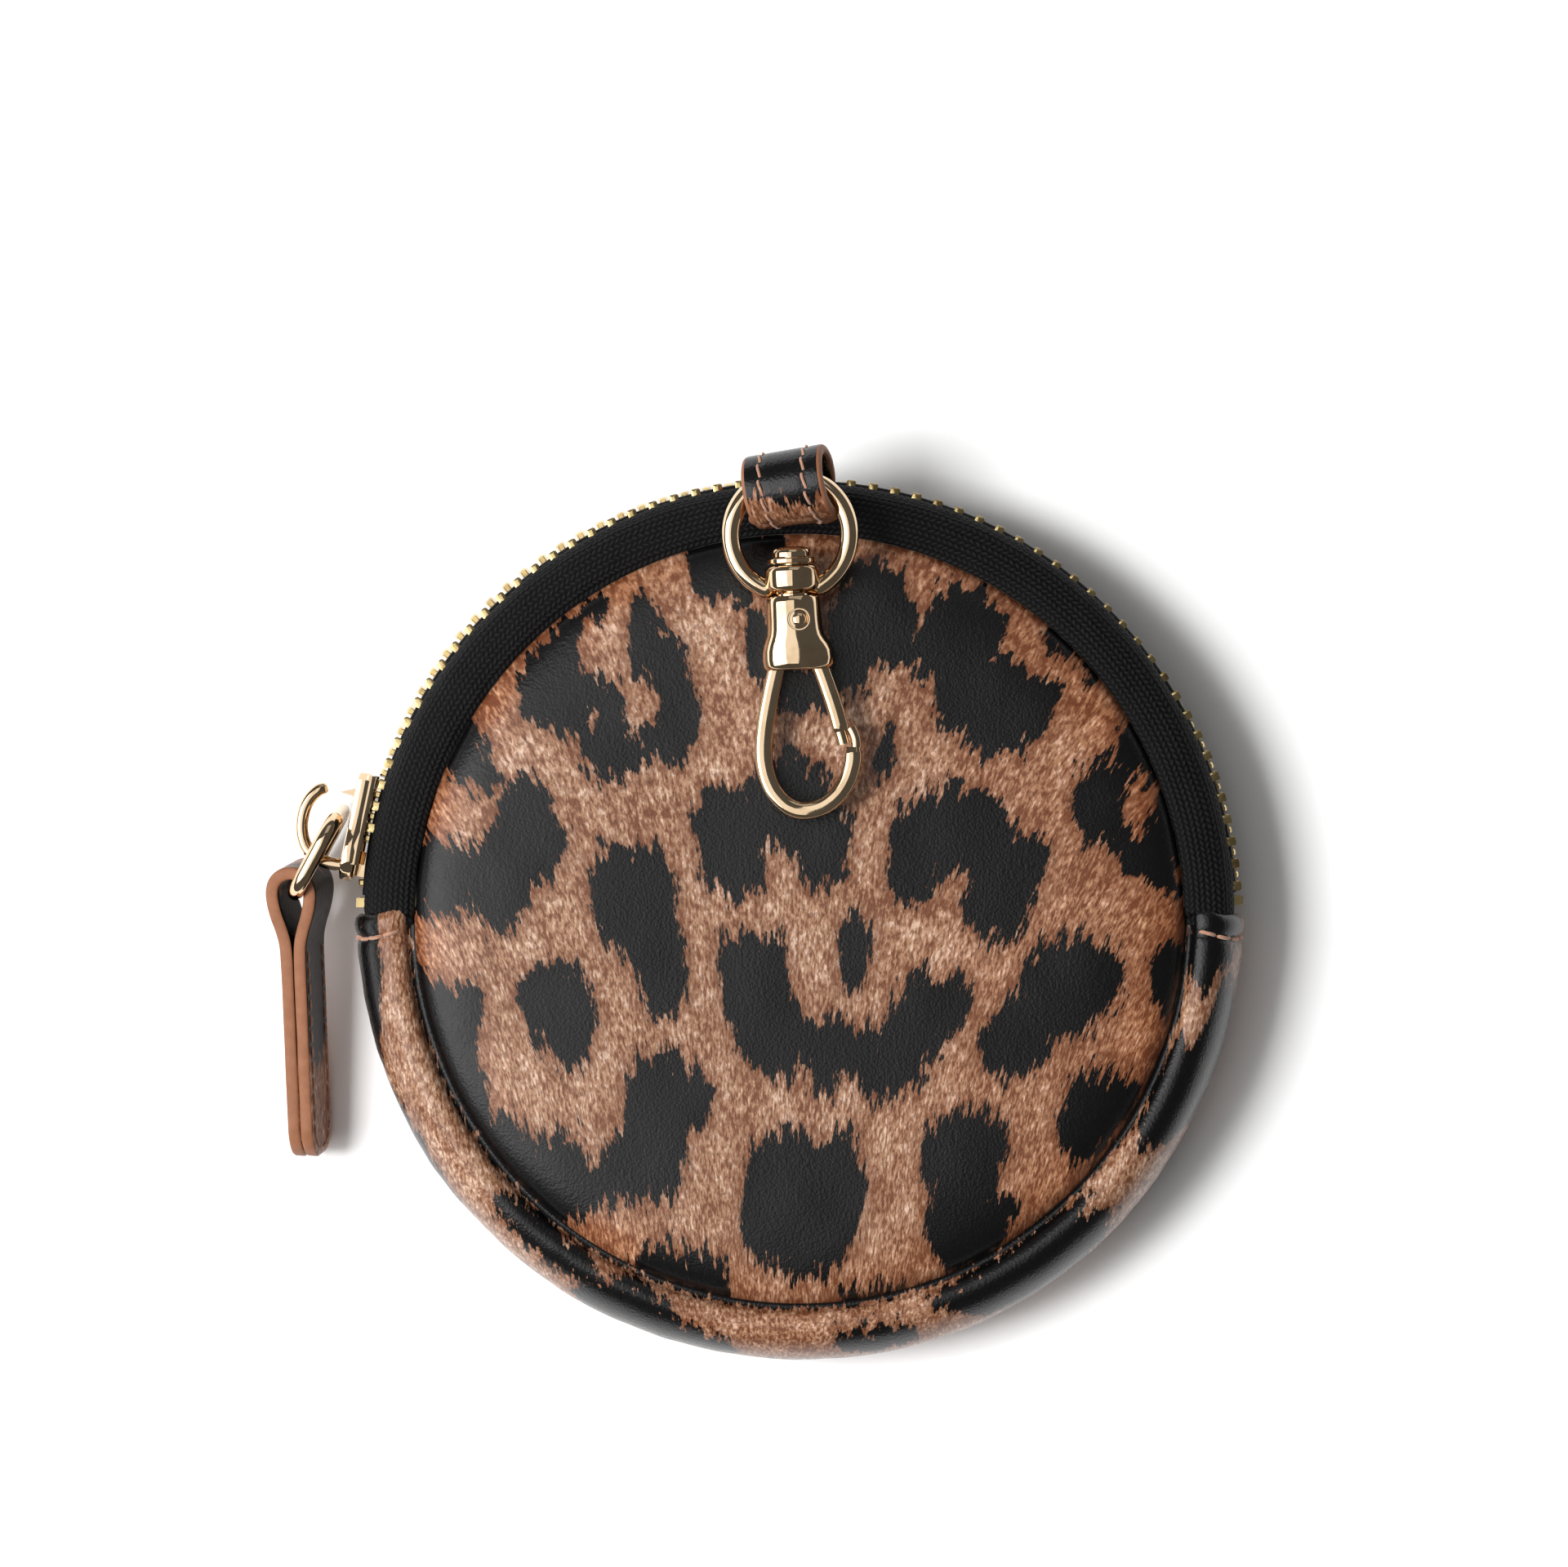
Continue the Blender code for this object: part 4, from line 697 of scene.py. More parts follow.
def make_insides():
    """The boards and linings of the two panels."""
    front, back, radius = "front_board", "back_board_sheet", 45.7
    make_inside(front, 17.95, 18.65, 43.5, BOARD, "fibreboard", "mouth", "front_board_lower", "front_board_upper")
    front_lining = make_inside("front_lining", 17.1, 17.6, radius, LINING, "lining", "mouth", "front_lining_lower",
                               "front_lining_upper")
    make_inside(back, 1.55, 2.25, 43.5, BOARD, "fibreboard", "purse", "back_board")
    back_lining = make_inside("back_lining_cloth", 2.6, 3.1, radius, LINING, "lining", "purse", "back_lining")


# The gusset: a leather strip round the lower half, rolled over a soft filling, its two ends turned in and sewn

GUSSET_LINE = [(47.1, 16.95), (47.75, 16.3), (48.35, 16.4), (48.7, 17.1), (49.4, 17.65), (50.6, 17.8), (52.0, 17.2),
               (53.3, 15.9), (54.3, 14.0), (54.85, 12.0), (55.0, 10.5), (54.85, 9.0), (54.3, 7.0), (53.3, 5.1),
               (52.0, 3.8), (50.5, 3.15), (49.2, 3.25), (48.3, 3.45), (47.4, 3.1)]
GUSSET_ENDS = (179.5, 360.5)  # degrees round
STITCH_ROW = 2.9  # mm from each end of the gusset
SEAM_TUCK = 1.53  # length of the line's start that is hidden in the seam
# black patches as (degrees round, mm along the section from the front seam)
GUSSET_SPOTS = [
    [(179, 5.5), (181, 4.5), (187, 4.4), (192, 5.6), (196, 7.6), (199, 11), (194, 14), (185, 15), (179, 14)],
    [(222, 2.6), (226, 0.6), (233, 0.4), (238, 1.4), (241, 4), (236, 5.4), (229, 4.8), (224, 4)],
    [(238, 7), (241, 3.4), (246, 1), (251, 2.2), (254, 4.4), (259, 5.6), (262, 8), (259, 11.4), (250, 12.6),
     (242, 11)],
    [(275, 4.4), (279, 3.6), (284, 4.2), (286, 7), (281, 9), (276, 7.4)],
    [(289, 2.4), (294, 0.5), (300, -0.6), (309, -0.4), (316, 1.5), (313, 3), (317, 4.6), (316, 7.6),
     (310, 10.6), (302, 11), (296, 8.4), (292, 5)],
    [(327, 2.2), (331, 0.4), (338, 0), (343, 1.6), (341, 3), (346, 4.2), (352, 6), (350, 10), (342, 12),
     (334, 11), (330, 7), (327, 4.6)],
    [(352, 0.5), (355, -0.5), (362, 0), (362, 9), (357, 8.4), (353.5, 5), (350, 3)],
    [(205, 9.4), (212, 8.2), (219, 10), (217, 14), (208, 15.4), (203, 13)],
    [(264, 11.5), (272, 10.6), (279, 12.4), (276, 16), (267, 17), (262, 14.6)],
    [(318, 13), (325, 11.4), (332, 13), (330, 17), (321, 18)],
    [(222, 15), (230, 13.6), (237, 15), (234, 18), (225, 18.6)],
]


def end_share(r):
    """How near the panels a point of the gusset is: 0 at its outside, 1 at the seams."""
    return np.clip((52.6 - r) / 4.2, 0, 1)


def make_gusset():
    outer = smooth_line(GUSSET_LINE, LINE_STEP)
    inner = (outer - left_normals(outer) * LEATHER_THICKNESS)[::4]
    length = lengths_along(outer) - SEAM_TUCK
    a0, a1 = GUSSET_ENDS
    count = int((a1 - a0) / 360 * 2 * math.pi * GUSSET_RADIUS / LINE_STEP)
    angle = np.linspace(a0, a1, count)
    section = np.vstack([outer, inner[::-1]])
    m, k = len(section), len(outer)
    r, z = section[:, 0][None] + 0 * angle[:, None], section[:, 1][None] + 0 * angle[:, None]
    along = np.radians(angle)[:, None] * GUSSET_RADIUS
    across = np.r_[length, length[::-4][: m - k]][None]
    out = (np.arange(m) < k)[None]
    middle = np.sin(np.clip(np.arange(m) / (k - 1), 0, 1) * math.pi)[None]
    # soft unevenness, fine creases across the roll, and the turned-in ends: a step where the second layer stops
    swell = 0.16 * hash_noise(along / 11, across / 5, 7) + 0.05 * hash_noise(along / 2.2, across / 6, 8)
    from_end = np.minimum(angle - a0, a1 - angle)[:, None] / 180 * math.pi * GUSSET_RADIUS
    pinch = -0.42 * np.exp(-((from_end - STITCH_ROW) / 0.35) ** 2) * middle ** 0.5
    flare = (0.35 * np.exp(-((from_end - 1.3) / 1.0) ** 2) + 0.12 * np.exp(-((from_end - 5.0) / 1.6) ** 2)) * middle
    rounding = -0.40 * np.clip(1 - from_end / 0.45, 0, 1) ** 2
    lift = (swell * middle * np.clip(from_end / 6, 0, 1) + pinch + flare + rounding) * out
    normal_r, normal_z = r - ROLL_CENTRE[0], z - ROLL_CENTRE[1]
    size = np.hypot(normal_r, normal_z)
    r, z = r + lift * normal_r / size, z + lift * normal_z / size
    # the folded ends reach over the tape beside the panels, and slant back towards the teeth
    reach = 1.15 * end_share(r) * np.clip(1 - from_end / 6, 0, 1)
    a = np.radians(angle)[:, None] + np.where(angle[:, None] < 270, -reach, reach) / GUSSET_RADIUS
    points = around(r, a, z)
    faces = capped_faces(count, m, turn_sides=True)
    flat_angle = np.repeat(angle, m)
    flat_across = np.tile(across[0], count)
    scale = GUSSET_RADIUS * math.pi / 180
    spots = [[(p[0] * scale, p[1]) for p in o] for o in GUSSET_SPOTS]
    x, y = flat_angle * scale, flat_across
    field = spot_field(x, y, spots)
    # painted shade: the leather tucked into the valley by the front seam is painted black, with a darker fringe beside
    # it, for the shade in that crease
    field = np.minimum(field, 3 * (flat_across + 0.1))
    field[np.tile(np.arange(m) >= k, count)] = BLACK
    # the hairs run downwards on the purse: along the strip at its ends, across it at the bottom
    fa = np.radians(flat_angle)
    u = points[:, 0] * 0.95 + flat_across * 0.25 * np.cos(fa)
    v = points[:, 1] + flat_across * 0.9 * np.sin(fa)
    ahead = spot_field(x + FUR_STEP * np.abs(np.cos(fa)), y + FUR_STEP * np.abs(np.sin(fa)), spots)
    slope = print_slope(field, ahead)
    amber_and_shade = np.clip(0.15 + 0.25 * np.sin(fa * 3), 0, 1) * 0.5
    made = new_object("gusset_leather", points, faces, GUSSET_LEATHER, 70.0,
                      **{"print": np.stack([field, slope, amber_and_shade], -1), "fur": np.stack([u, v, 0 * u], -1)})
    belongs(mend(made), "purse", "printed_leather", "bottom_gusset")

    # the row of stitches across each end: every stitch bulges out of the pinch
    paths = []
    for end, sign in ((a0, 1), (a1, -1)):
        for first in range(7, k - 9, 6):
            place = []
            for j in np.linspace(first, first + 5, 9):
                f = (j - first) / 5
                rr, zz = (np.interp(j, np.arange(k), outer[:, i]) for i in (0, 1))
                out_r, out_z = rr - ROLL_CENTRE[0], zz - ROLL_CENTRE[1]
                high = (-0.36 + 0.42 * math.sin(math.pi * f) ** 0.6) / math.hypot(out_r, out_z)
                rr, zz = rr + high * out_r, zz + high * out_z
                back = STITCH_ROW - 0.9 * end_share(rr) + 0.12 * math.sin(first * 1.7)
                t = math.radians(end) + sign * back / GUSSET_RADIUS
                place.append((rr * math.cos(t), rr * math.sin(t), zz))
            paths.append(place)
    make_stitches("gusset_stitches", paths, 0.24, "purse")

    # the gusset's lining
    line, length = outer[3:-3], length[3:-3]
    to = line - ROLL_CENTRE
    to /= np.linalg.norm(to, axis=1)[:, None]
    section = np.vstack([line - to * 1.55, (line - to * 2.0)[::-1]])
    angle = np.radians(np.linspace(180.6, 359.4, 260))
    r, z = (section[:, i][None] + 0 * angle[:, None] for i in (0, 1))
    points = around(r, angle[:, None], z)
    faces = capped_faces(len(angle), len(section), turn_sides=True)
    weave = np.stack([np.repeat(angle * TAPE_RADIUS, len(section)),
                      np.tile(np.r_[length, length[::-1]], len(angle)), np.zeros(len(points))], -1)
    made = mend(new_object("gusset_lining_cloth", points, faces, LINING, 60.0, weave=weave))
    belongs(made, "purse", "lining", "gusset_lining")


# The zip's tapes

# (r, z) from the seam to the teeth; the back tape's is turned over and starts nearer its panel
TAPE_LINE = [(47.5, 17.2), (48.6, 17.55), (50.0, 17.5), (51.6, 17.1), (52.7, 16.4), (53.4, 15.3), (53.75, 14.2),
             (53.8, 13.65)]
BACK_TAPE_START = (47.3, 17.8)


def make_tape(name, front):
    """A knitted tape round the upper half: rows of slanting yarns, alternately left and right, as a relief."""
    outer = smooth_line([TAPE_LINE[0] if front else BACK_TAPE_START] + TAPE_LINE[1:], 0.13 if front else 0.32)
    normal = left_normals(outer)
    inner = (outer - normal * 0.6)[::5]
    length = lengths_along(outer)
    section = np.vstack([outer, inner[::-1]])
    m, k = len(section), len(outer)
    step = 0.17 if front else 0.35
    angle = np.radians(np.linspace(-0.9, 180.9, int(181.8 / 180 * math.pi * TAPE_RADIUS / step)))[:, None]
    across = np.r_[length, length[::-5][: m - k]][None]
    along = angle * TAPE_RADIUS
    # chevrons: each narrow band of yarns slants the other way from the next
    band_width, yarn_pitch = 0.68, 0.82
    band = np.floor(across / band_width)
    inside = across / band_width - band
    side = np.where(band % 2 == 0, 1, -1)
    slant = along / yarn_pitch + side * (inside - 0.5) * 0.85 + band * 0.41
    yarn = np.abs(np.sin(math.pi * (slant + 0.15 * hash_noise(along / 2, across, 11)))) ** 0.6
    groove = np.clip(np.sin(math.pi * inside), 0, 1) ** 0.6
    relief = yarn * groove
    out = (np.arange(m) < k)[None]
    lift = (0.27 * relief - 0.12 + 0.10 * hash_noise(along / 3.0, across / 2.0, 9)) * out
    lift = lift * np.clip(across / 0.5, 0, 1)
    # the ends dive under the folded ends of the gusset
    past = np.clip((np.abs(np.degrees(angle) - 90) - 89.1) / 0.9, 0, 1)
    lift = lift - 0.62 * past * past * (3 - 2 * past) * out
    normals = np.vstack([normal, -normal[::5][::-1]])
    r = section[:, 0][None] + lift * normals[:, 0][None] + 0 * angle
    z = section[:, 1][None] + lift * normals[:, 1][None] + 0 * angle
    if not front:
        z = THICKNESS - z
    points = around(r, angle, z)
    count = len(angle)
    faces = capped_faces(count, m, turn_sides=front, turn_ends=not front)
    weave = np.stack([(along + 0 * across).ravel(), (across + 0 * along).ravel(), np.zeros(count * m)], -1)
    # relief also paints the tape's colour: lighter yarn tops as painted sheen, darker grooves as painted shade
    made = mend(new_object(name, points, faces, TAPE, 80.0, weave=weave, relief=(relief * out).ravel()))
    belongs(made, "mouth" if front else "purse", "zip_tape", "front_zip_tape" if front else "back_zip_tape")


def tooth(theta, front):
    """One zip tooth clamped on the tape's cord: a bevelled block with a narrower head. The chain lies outwards at the
    left, and is tucked in at the right."""
    left = 0.5 - 0.5 * math.cos(theta)
    bulge = 0.55 * math.exp(-((math.degrees(theta) - 128) / 26) ** 2)
    # no shift near the right end, where the slider stops with the zip open
    free = min(max((math.degrees(theta) - 22) / 16, 0), 1)
    shift = ((-0.45 + 0.45 * left) if front else (-0.95 + 1.1 * left + bulge)) * free
    sign = 1 if front else -1
    # (z, half width along the row, inner radius, outer radius) from the root to the head
    rows = [
        (13.30, 0.30, 53.25, 54.75), (13.22, 0.56, 53.02, 54.92), (12.85, 0.62, 52.95, 54.98),
        (11.60, 0.62, 52.95, 54.98), (11.05, 0.50, 53.05, 54.95), (10.60, 0.44, 53.15, 54.90),
        (10.05, 0.40, 53.25, 54.80), (9.82, 0.26, 53.40, 54.65),
    ]
    rings = []
    for z, half, r0, r1 in rows:
        cut = 0.16 if half > 0.3 else 0.1
        ring = [(r0 + cut, -half), (r1 - cut, -half), (r1, -half + cut), (r1, half - cut), (r1 - cut, half),
                (r0 + cut, half), (r0, half - cut), (r0, -half + cut)]
        rings.append([(r + shift, s, MIDDLE + sign * (z - MIDDLE)) for r, s in ring])
    points = np.array(rings).reshape(-1, 3)
    c, s = math.cos(theta), math.sin(theta)
    points = np.stack([points[:, 0] * c - points[:, 1] * s, points[:, 0] * s + points[:, 1] * c, points[:, 2]], 1)
    return points, capped_faces(len(rows), 8, not front, not front)


def make_teeth():
    pitch = math.degrees(2.81 / 55)
    for name, front, first in (("front_teeth", True, 4.2), ("back_teeth", False, 4.2 + pitch / 2)):
        parts = []
        theta = first
        while theta < 176.6:
            # the slider's wedge, behind which the two rows part
            if not 170.9 < theta < 175.1:
                parts.append(tooth(math.radians(theta), front))
            theta += pitch
        sign = 1 if front else -1
        arc = np.radians(np.linspace(3.4, 177.0, 180))
        rope = tube(around(53.8, arc, np.full_like(arc, MIDDLE + sign * 2.25)), ring_section(0.5, 8))
        points, faces = join(parts)
        made = mend(new_object(name, points, faces, BRASS, 35.0))
        string = mend(new_object(name.replace("teeth", "cord"), *rope, TAPE, 60.0,
                                 weave=rope[0], relief=np.full(len(rope[0]), 0.3)))
        body = "mouth" if front else "purse"
        belongs(made, body, "brass", "front_tooth_row" if front else "back_tooth_row")
        belongs(string, body, "zip_tape")


# The slider. Its own frame has X away from the purse's middle and Y towards the zip's closed end.

SLIDER_ANGLE = math.radians(168.4)


def slider_point(x, y, z=0.0):
    c, s = math.cos(SLIDER_ANGLE), math.sin(SLIDER_ANGLE)
    return (x * c - y * s, x * s + y * c, MIDDLE + z)


def slab(outline, low, high, bevel):
    """A plate with a rounded rim in the slider's frame: outline is (y, z) pairs, anticlockwise seen from outside."""
    outline = np.asarray(outline, float)
    centre = outline.mean(0)
    before, after = np.roll(outline, 1, 0), np.roll(outline, -1, 0)
    edge = after - before
    normal = np.stack([edge[:, 1], -edge[:, 0]], 1)
    normal /= np.linalg.norm(normal, axis=1)[:, None]
    if ((outline - centre) * normal).sum() < 0:
        normal = -normal
    rings = []
    for x, inset in ((low, bevel), (low + bevel * 0.3, bevel * 0.3), (low + bevel, 0), (high - bevel, 0),
                     (high - bevel * 0.3, bevel * 0.3), (high, bevel)):
        ring = outline - normal * inset
        rings.append(np.array([slider_point(x, y, z) for y, z in ring]))
    return np.vstack(rings), capped_faces(len(rings), len(outline))


def plate_outline():
    """The plate seen along X: wide shoulders towards +Y, a narrower tail towards -Y."""
    wide, tail, long = 4.6, 4.0, 6.8
    half = [(-long, tail * 0.62), (-long + 0.35, tail * 0.85), (-long + 0.9, tail), (-1.5, tail), (0.3, tail + 0.04),
            (1.2, tail + 0.25), (2.0, wide - 0.15), (3.0, wide), (long - 2.4, wide), (long - 1.3, wide - 0.5),
            (long - 0.5, wide - 1.5), (long, wide - 2.9)]
    return half + [(y, -z) for y, z in half[::-1]]


def make_slider():
    """The slider and its pull ring; gives back the middle of the ring's far bar."""
    parts = [slab(plate_outline(), 55.3, 57.1, 0.5), slab(plate_outline(), 50.65, 52.05, 0.4)]
    # the lips that hold the chain, and the wedge between the rows
    for sign in (1, -1):
        for low, high in ((54.9, 56.0), (51.6, 52.6)):
            lip = [(-6.6, sign * 3.05), (-6.6, sign * 3.9), (0.4, sign * 3.9), (2.2, sign * 4.5), (4.6, sign * 4.5),
                   (4.6, sign * 3.6), (2.4, sign * 3.6), (0.6, sign * 3.05)]
            parts.append(slab(lip, low, high, 0.15))
    parts.append(slab([(2.9, -0.6), (2.9, 0.6), (6.0, 0.6), (6.0, -0.6)], 51.4, 56.1, 0.1))
    # the open hook that the pull ring hangs in
    path = [(-56.2, 6.5), (-58.2, 6.7), (-59.8, 7.3), (-61.2, 8.6), (-61.85, 10.6), (-61.7, 12.9), (-60.95, 14.7),
            (-59.8, 15.85), (-58.7, 16.2)]
    line = smooth_path([(x, y, MIDDLE) for x, y in path], 0.3)
    share = np.linspace(0, 1, len(line))
    grow = np.interp(share, [0, 0.1, 0.93, 0.985, 1.0], [0.85, 0.78, 0.78, 0.70, 0.45])
    a = circle_angles(20)
    bar = np.stack([np.sign(np.cos(a)) * np.abs(np.cos(a)) ** 0.7,
                    np.sign(np.sin(a)) * np.abs(np.sin(a)) ** 0.55 * 1.65], 1)
    parts.append(tube(line, bar[None] * grow[:, None, None]))
    points, faces = join(parts)
    made = mend(new_object("slider_metal", points, faces, GOLD, 35.0))
    belongs(made, "slider", "pale_gold", "slider_body")

    # the pull ring: an oval wire ring, thicker in its middle
    bars = np.array([-math.sin(math.radians(3)), -0.14230515, 1.0])
    bars /= np.linalg.norm(bars)
    span = np.array([-4.9, -8.9, 0.0])
    span[2] = -(span[0] * bars[0] + span[1] * bars[1]) / bars[2]
    length = np.linalg.norm(span)
    along = span / length
    corner, height = 2.9, 12.4
    outline = []
    for cx, cy, start in ((length - corner, height / 2 - corner, 0), (corner, height / 2 - corner, 90),
                          (corner, corner - height / 2, 180), (length - corner, corner - height / 2, 270)):
        for d in range(0, 91, 15):
            t = math.radians(start + d)
            outline.append((cx + corner * math.cos(t), cy + corner * math.sin(t)))
    near = np.array([-57.4, 12.6, 10.5])
    path = [near + along * x + bars * y for x, y in outline]
    points, faces = tube(smooth_path(path, 0.5, True), ring_section(1.0, 24), closed=True)
    made = mend(new_object("pull_ring_wire", points, faces, GOLD, 60.0))
    belongs(made, "puller_ring", "pale_gold", "pull_ring")
    return near + span


def strap_section(rim, flat, count):
    """Points round a strap's section, as (share of its half width, share of its half thickness, 1 on the painted
    edge): two flat sides of count points each, out to the share flat, and the rim at either edge."""
    return np.array([(s, 1.0, 0.0) for s in np.linspace(-flat, flat, count)] + [(s, v, 1.0) for s, v in rim]
                    + [(s, -1.0, 0.0) for s in np.linspace(flat, -flat, count)] + [(-s, -v, 1.0) for s, v in rim])


def make_strap(name, points, section, material, marks, body, node):
    """A strap's leather, its edges and ends painted."""
    rows = len(points) // len(section)
    made = new_object(name, points, capped_faces(rows, len(section)), material, 70.0, **marks)
    made.data.materials.append(EDGE)
    is_edge = np.tile(section[:, 2] > 0, rows)
    for polygon in made.data.polygons:
        if all(is_edge[i] for i in polygon.vertices) or len(polygon.vertices) > 4:
            polygon.material_index = 1
    belongs(mend(made), body, "printed_leather", node)


def make_pull_tab(far_bar):
    """Two layers of leather folded round the ring, with a groove between them, painted edges and stitching."""
    droop, lean = math.radians(8), math.radians(12)
    along = np.array([0.03, -math.cos(droop), -math.sin(droop)])
    along /= np.linalg.norm(along)
    up = np.array([-math.sin(lean), 0, math.cos(lean)])
    up = up - along * (up @ along)
    up /= np.linalg.norm(up)
    across = np.cross(up, along)
    # the strap's middle line from one layer's end round the ring to the other's: (along, across)
    layer, eye, length, half_width = 1.6, 1.62, 34.1, 4.3
    middle = eye + layer / 2
    line = [(length, -0.82), (24, -0.82), (14, -0.82), (9.0, -0.84), (6.6, -0.95), (4.8, -1.35), (3.0, -1.95),
            (1.5, -2.3)]
    line += [(-middle * math.sin(t), -middle * math.cos(t)) for t in np.radians([0, 30, 60, 90, 120, 150, 180])]
    line += [(x, -y) for x, y in line[7::-1]]
    line = smooth_line(line, 0.4)
    # the layers end in a half circle, so each is narrower towards its end
    reach = length - half_width
    past = np.clip(line[:, 0] - reach, 0, None)
    width = np.sqrt(np.clip(half_width ** 2 - past ** 2, 0.02, None))
    section = strap_section([(0.97, 0.93), (0.995, 0.6), (1.0, 0.0), (0.995, -0.6), (0.97, -0.93)], 0.92, 17)
    w = section[:, 0][None] * width[:, None]
    rounding = np.sqrt(1 - 0.96 * np.clip(line[:, 0] - length + 1.0, 0, 1) ** 2)
    thick = section[:, 1][None] * layer / 2 * rounding[:, None]
    rows = np.arange(len(line))
    spread = 1 + 0.04 * hash_noise(rows / 9, rows * 0, 4)[:, None]
    base = line[:, None] + left_normals(line)[:, None] * (thick * spread)[..., None]
    points = (far_bar + along * base[..., :1] + across * base[..., 1:] + up * w[..., None]).reshape(-1, 3)
    spots = [[(-5, 14), (5, 13), (5, 33), (0, 35), (-5, 32)], [(-5, 42), (5, 40), (5, 62), (-5, 60)]]
    marks = strap_print(w.ravel(), np.repeat(lengths_along(line), len(section)), spots, 0.4, 20)
    make_strap("pull_tab_leather", points, section, TAB_LEATHER, marks, "puller_tab", "pull_tab")

    # stitches 1.2 mm inside the edges: two straight rows, and one round the end
    inner = half_width - 1.2
    outlines = []
    for x in np.arange(7.5, reach + 0.1, 2.0):
        outlines += [[(x, inner), (x + 1.6, inner)], [(x, -inner), (x + 1.6, -inner)]]
    for d in range(-80, 81, 32):
        outlines.append([(reach + inner * math.cos(t), inner * math.sin(t)) for t in np.radians([d - 13, d, d + 13])])
    paths = []
    for sign in (1, -1):
        for o in outlines:
            q = smooth_line(o, 0.2)
            high = 1.55 + 0.16 * np.sin(math.pi * np.linspace(0, 1, len(q))) ** 0.5
            paths.append(far_bar + along * q[:, :1] + up * q[:, 1:] + across * (sign * high)[:, None])
    make_stitches("pull_tab_stitches", paths, 0.17, "puller_tab")


# The hanging loop

CLIP = np.array([-1.2, 47.0, 24.5])  # the middle of the clip's ring
LOOP_MIDDLE = CLIP + (0, 6.1, 0)
LOOP_TURN, LOOP_TILT = math.radians(9.0), math.radians(14.0)


def twisted(points):
    """The strap's points turned about the loop's middle, more and more from its sewn ends up: it lies askew, its right
    edge raised."""
    p = np.array(points, float)
    share = np.clip((p[:, 2] - 18.5) / 3.5, 0, 1)
    share = share * share * (3 - 2 * share)
    x, y, z = (p - LOOP_MIDDLE).T
    turn, tilt = LOOP_TURN * share, LOOP_TILT * share
    x, z = x * np.cos(tilt) - z * np.sin(tilt), x * np.sin(tilt) + z * np.cos(tilt)
    x, y = x * np.cos(turn) - y * np.sin(turn), x * np.sin(turn) + y * np.cos(turn)
    return np.stack([x, y, z], 1) + LOOP_MIDDLE


def make_loop():
    """A strap bent into a teardrop, with painted edges and two rows of stitches, its ends in the seam."""
    x0, cy, cz = LOOP_MIDDLE
    strap, half, row = 1.3, 5.1, 2.75  # thickness, half width, and each row of stitches from the middle
    middle = 3.02 + strap / 2
    line = [(50.6, 17.9), (50.9, 19.2), (52.6, 20.1)]
    line += [(cy + middle * math.cos(t), cz + middle * math.sin(t))
             for t in np.radians([-62, -40, -20, 0, 25, 50, 75, 100, 125, 150, 170])]
    line += [(49.15, 24.0), (49.0, 22.0), (49.15, 20.0), (49.3, 17.9)]
    line = smooth_line(line, 0.25)
    normal = -left_normals(line)
    length = lengths_along(line)
    total = length[-1]
    section = strap_section([(0.90, 0.98), (0.94, 0.90), (0.975, 0.68), (0.995, 0.35), (1.0, 0.0), (0.995, -0.35),
                             (0.975, -0.68), (0.94, -0.90), (0.90, -0.98)], 0.87, 25)
    s = section[:, 0][None] * half * np.ones((len(line), 1))
    # a groove under each row of stitches
    groove = np.exp(-((s - row) / 0.35) ** 2) + np.exp(-((s + row) / 0.35) ** 2)
    groove = -0.13 * groove * (section[:, 1] > 0.9)[None]
    thick = section[:, 1][None] * strap / 2 + groove
    base = line[:, None] + normal[:, None] * thick[..., None]
    points = twisted(np.stack([x0 + s, base[..., 0], base[..., 1]], -1).reshape(-1, 3))
    spots = [[(-7, 4), (7, 3), (7, total * 0.61), (2, total * 0.64), (-3, total * 0.60), (-7, total * 0.55)]]
    marks = strap_print(s.ravel(), np.repeat(length, len(section)), spots, 0.35, 40)
    make_strap("loop_leather", points, section, GUSSET_LEATHER, marks, "front_flap", "hanging_loop")
    paths = []
    for side in (-row, row):
        start = 3.0
        while start + 1.5 < total - 2:
            q, f = np.linspace(start, start + 1.55, 9), np.linspace(0, 1, 9)
            y, z, ny, nz = (np.interp(q, length, v) for v in (*line.T, *normal.T))
            high = strap / 2 - 0.16 + 0.22 * np.sin(math.pi * f) ** 0.5
            x = x0 + side + 0.14 * np.sin(math.pi * (f - 0.5))
            paths.append(twisted(np.stack([x, y + ny * high, z + nz * high], 1)))
            start += 1.95
    make_stitches("loop_stitches", paths, 0.19, "front_flap")


# The swivel clip, in its own frame: the ring's middle is the origin and the hook lies towards -Y

CLIP_TURN = math.radians(2.7)
RIVET = (0.6, -10.4)


def clip_place(points):
    points = np.asarray(points, float)
    c, s = math.cos(CLIP_TURN), math.sin(CLIP_TURN)
    x, y, z = points[..., 0], points[..., 1], points[..., 2]
    return np.stack([CLIP[0] + x * c - y * s, CLIP[1] + x * s + y * c, CLIP[2] + z], -1)


def clip_piece(name, parts, body, node, smooth=40.0):
    points, faces = join(parts)
    belongs(mend(new_object(name, clip_place(points), faces, GOLD, smooth)), body, "pale_gold", node)


def super_section(hx, hz, power, x0=0.0, sides=56):
    """Points round a section between an ellipse and a rounded box."""
    a = circle_angles(sides)
    c, s = np.cos(a), np.sin(a)
    return np.stack([x0 + hx * np.sign(c) * np.abs(c) ** (2 / power),
                     hz * np.sign(s) * np.abs(s) ** (2 / power)], 1)


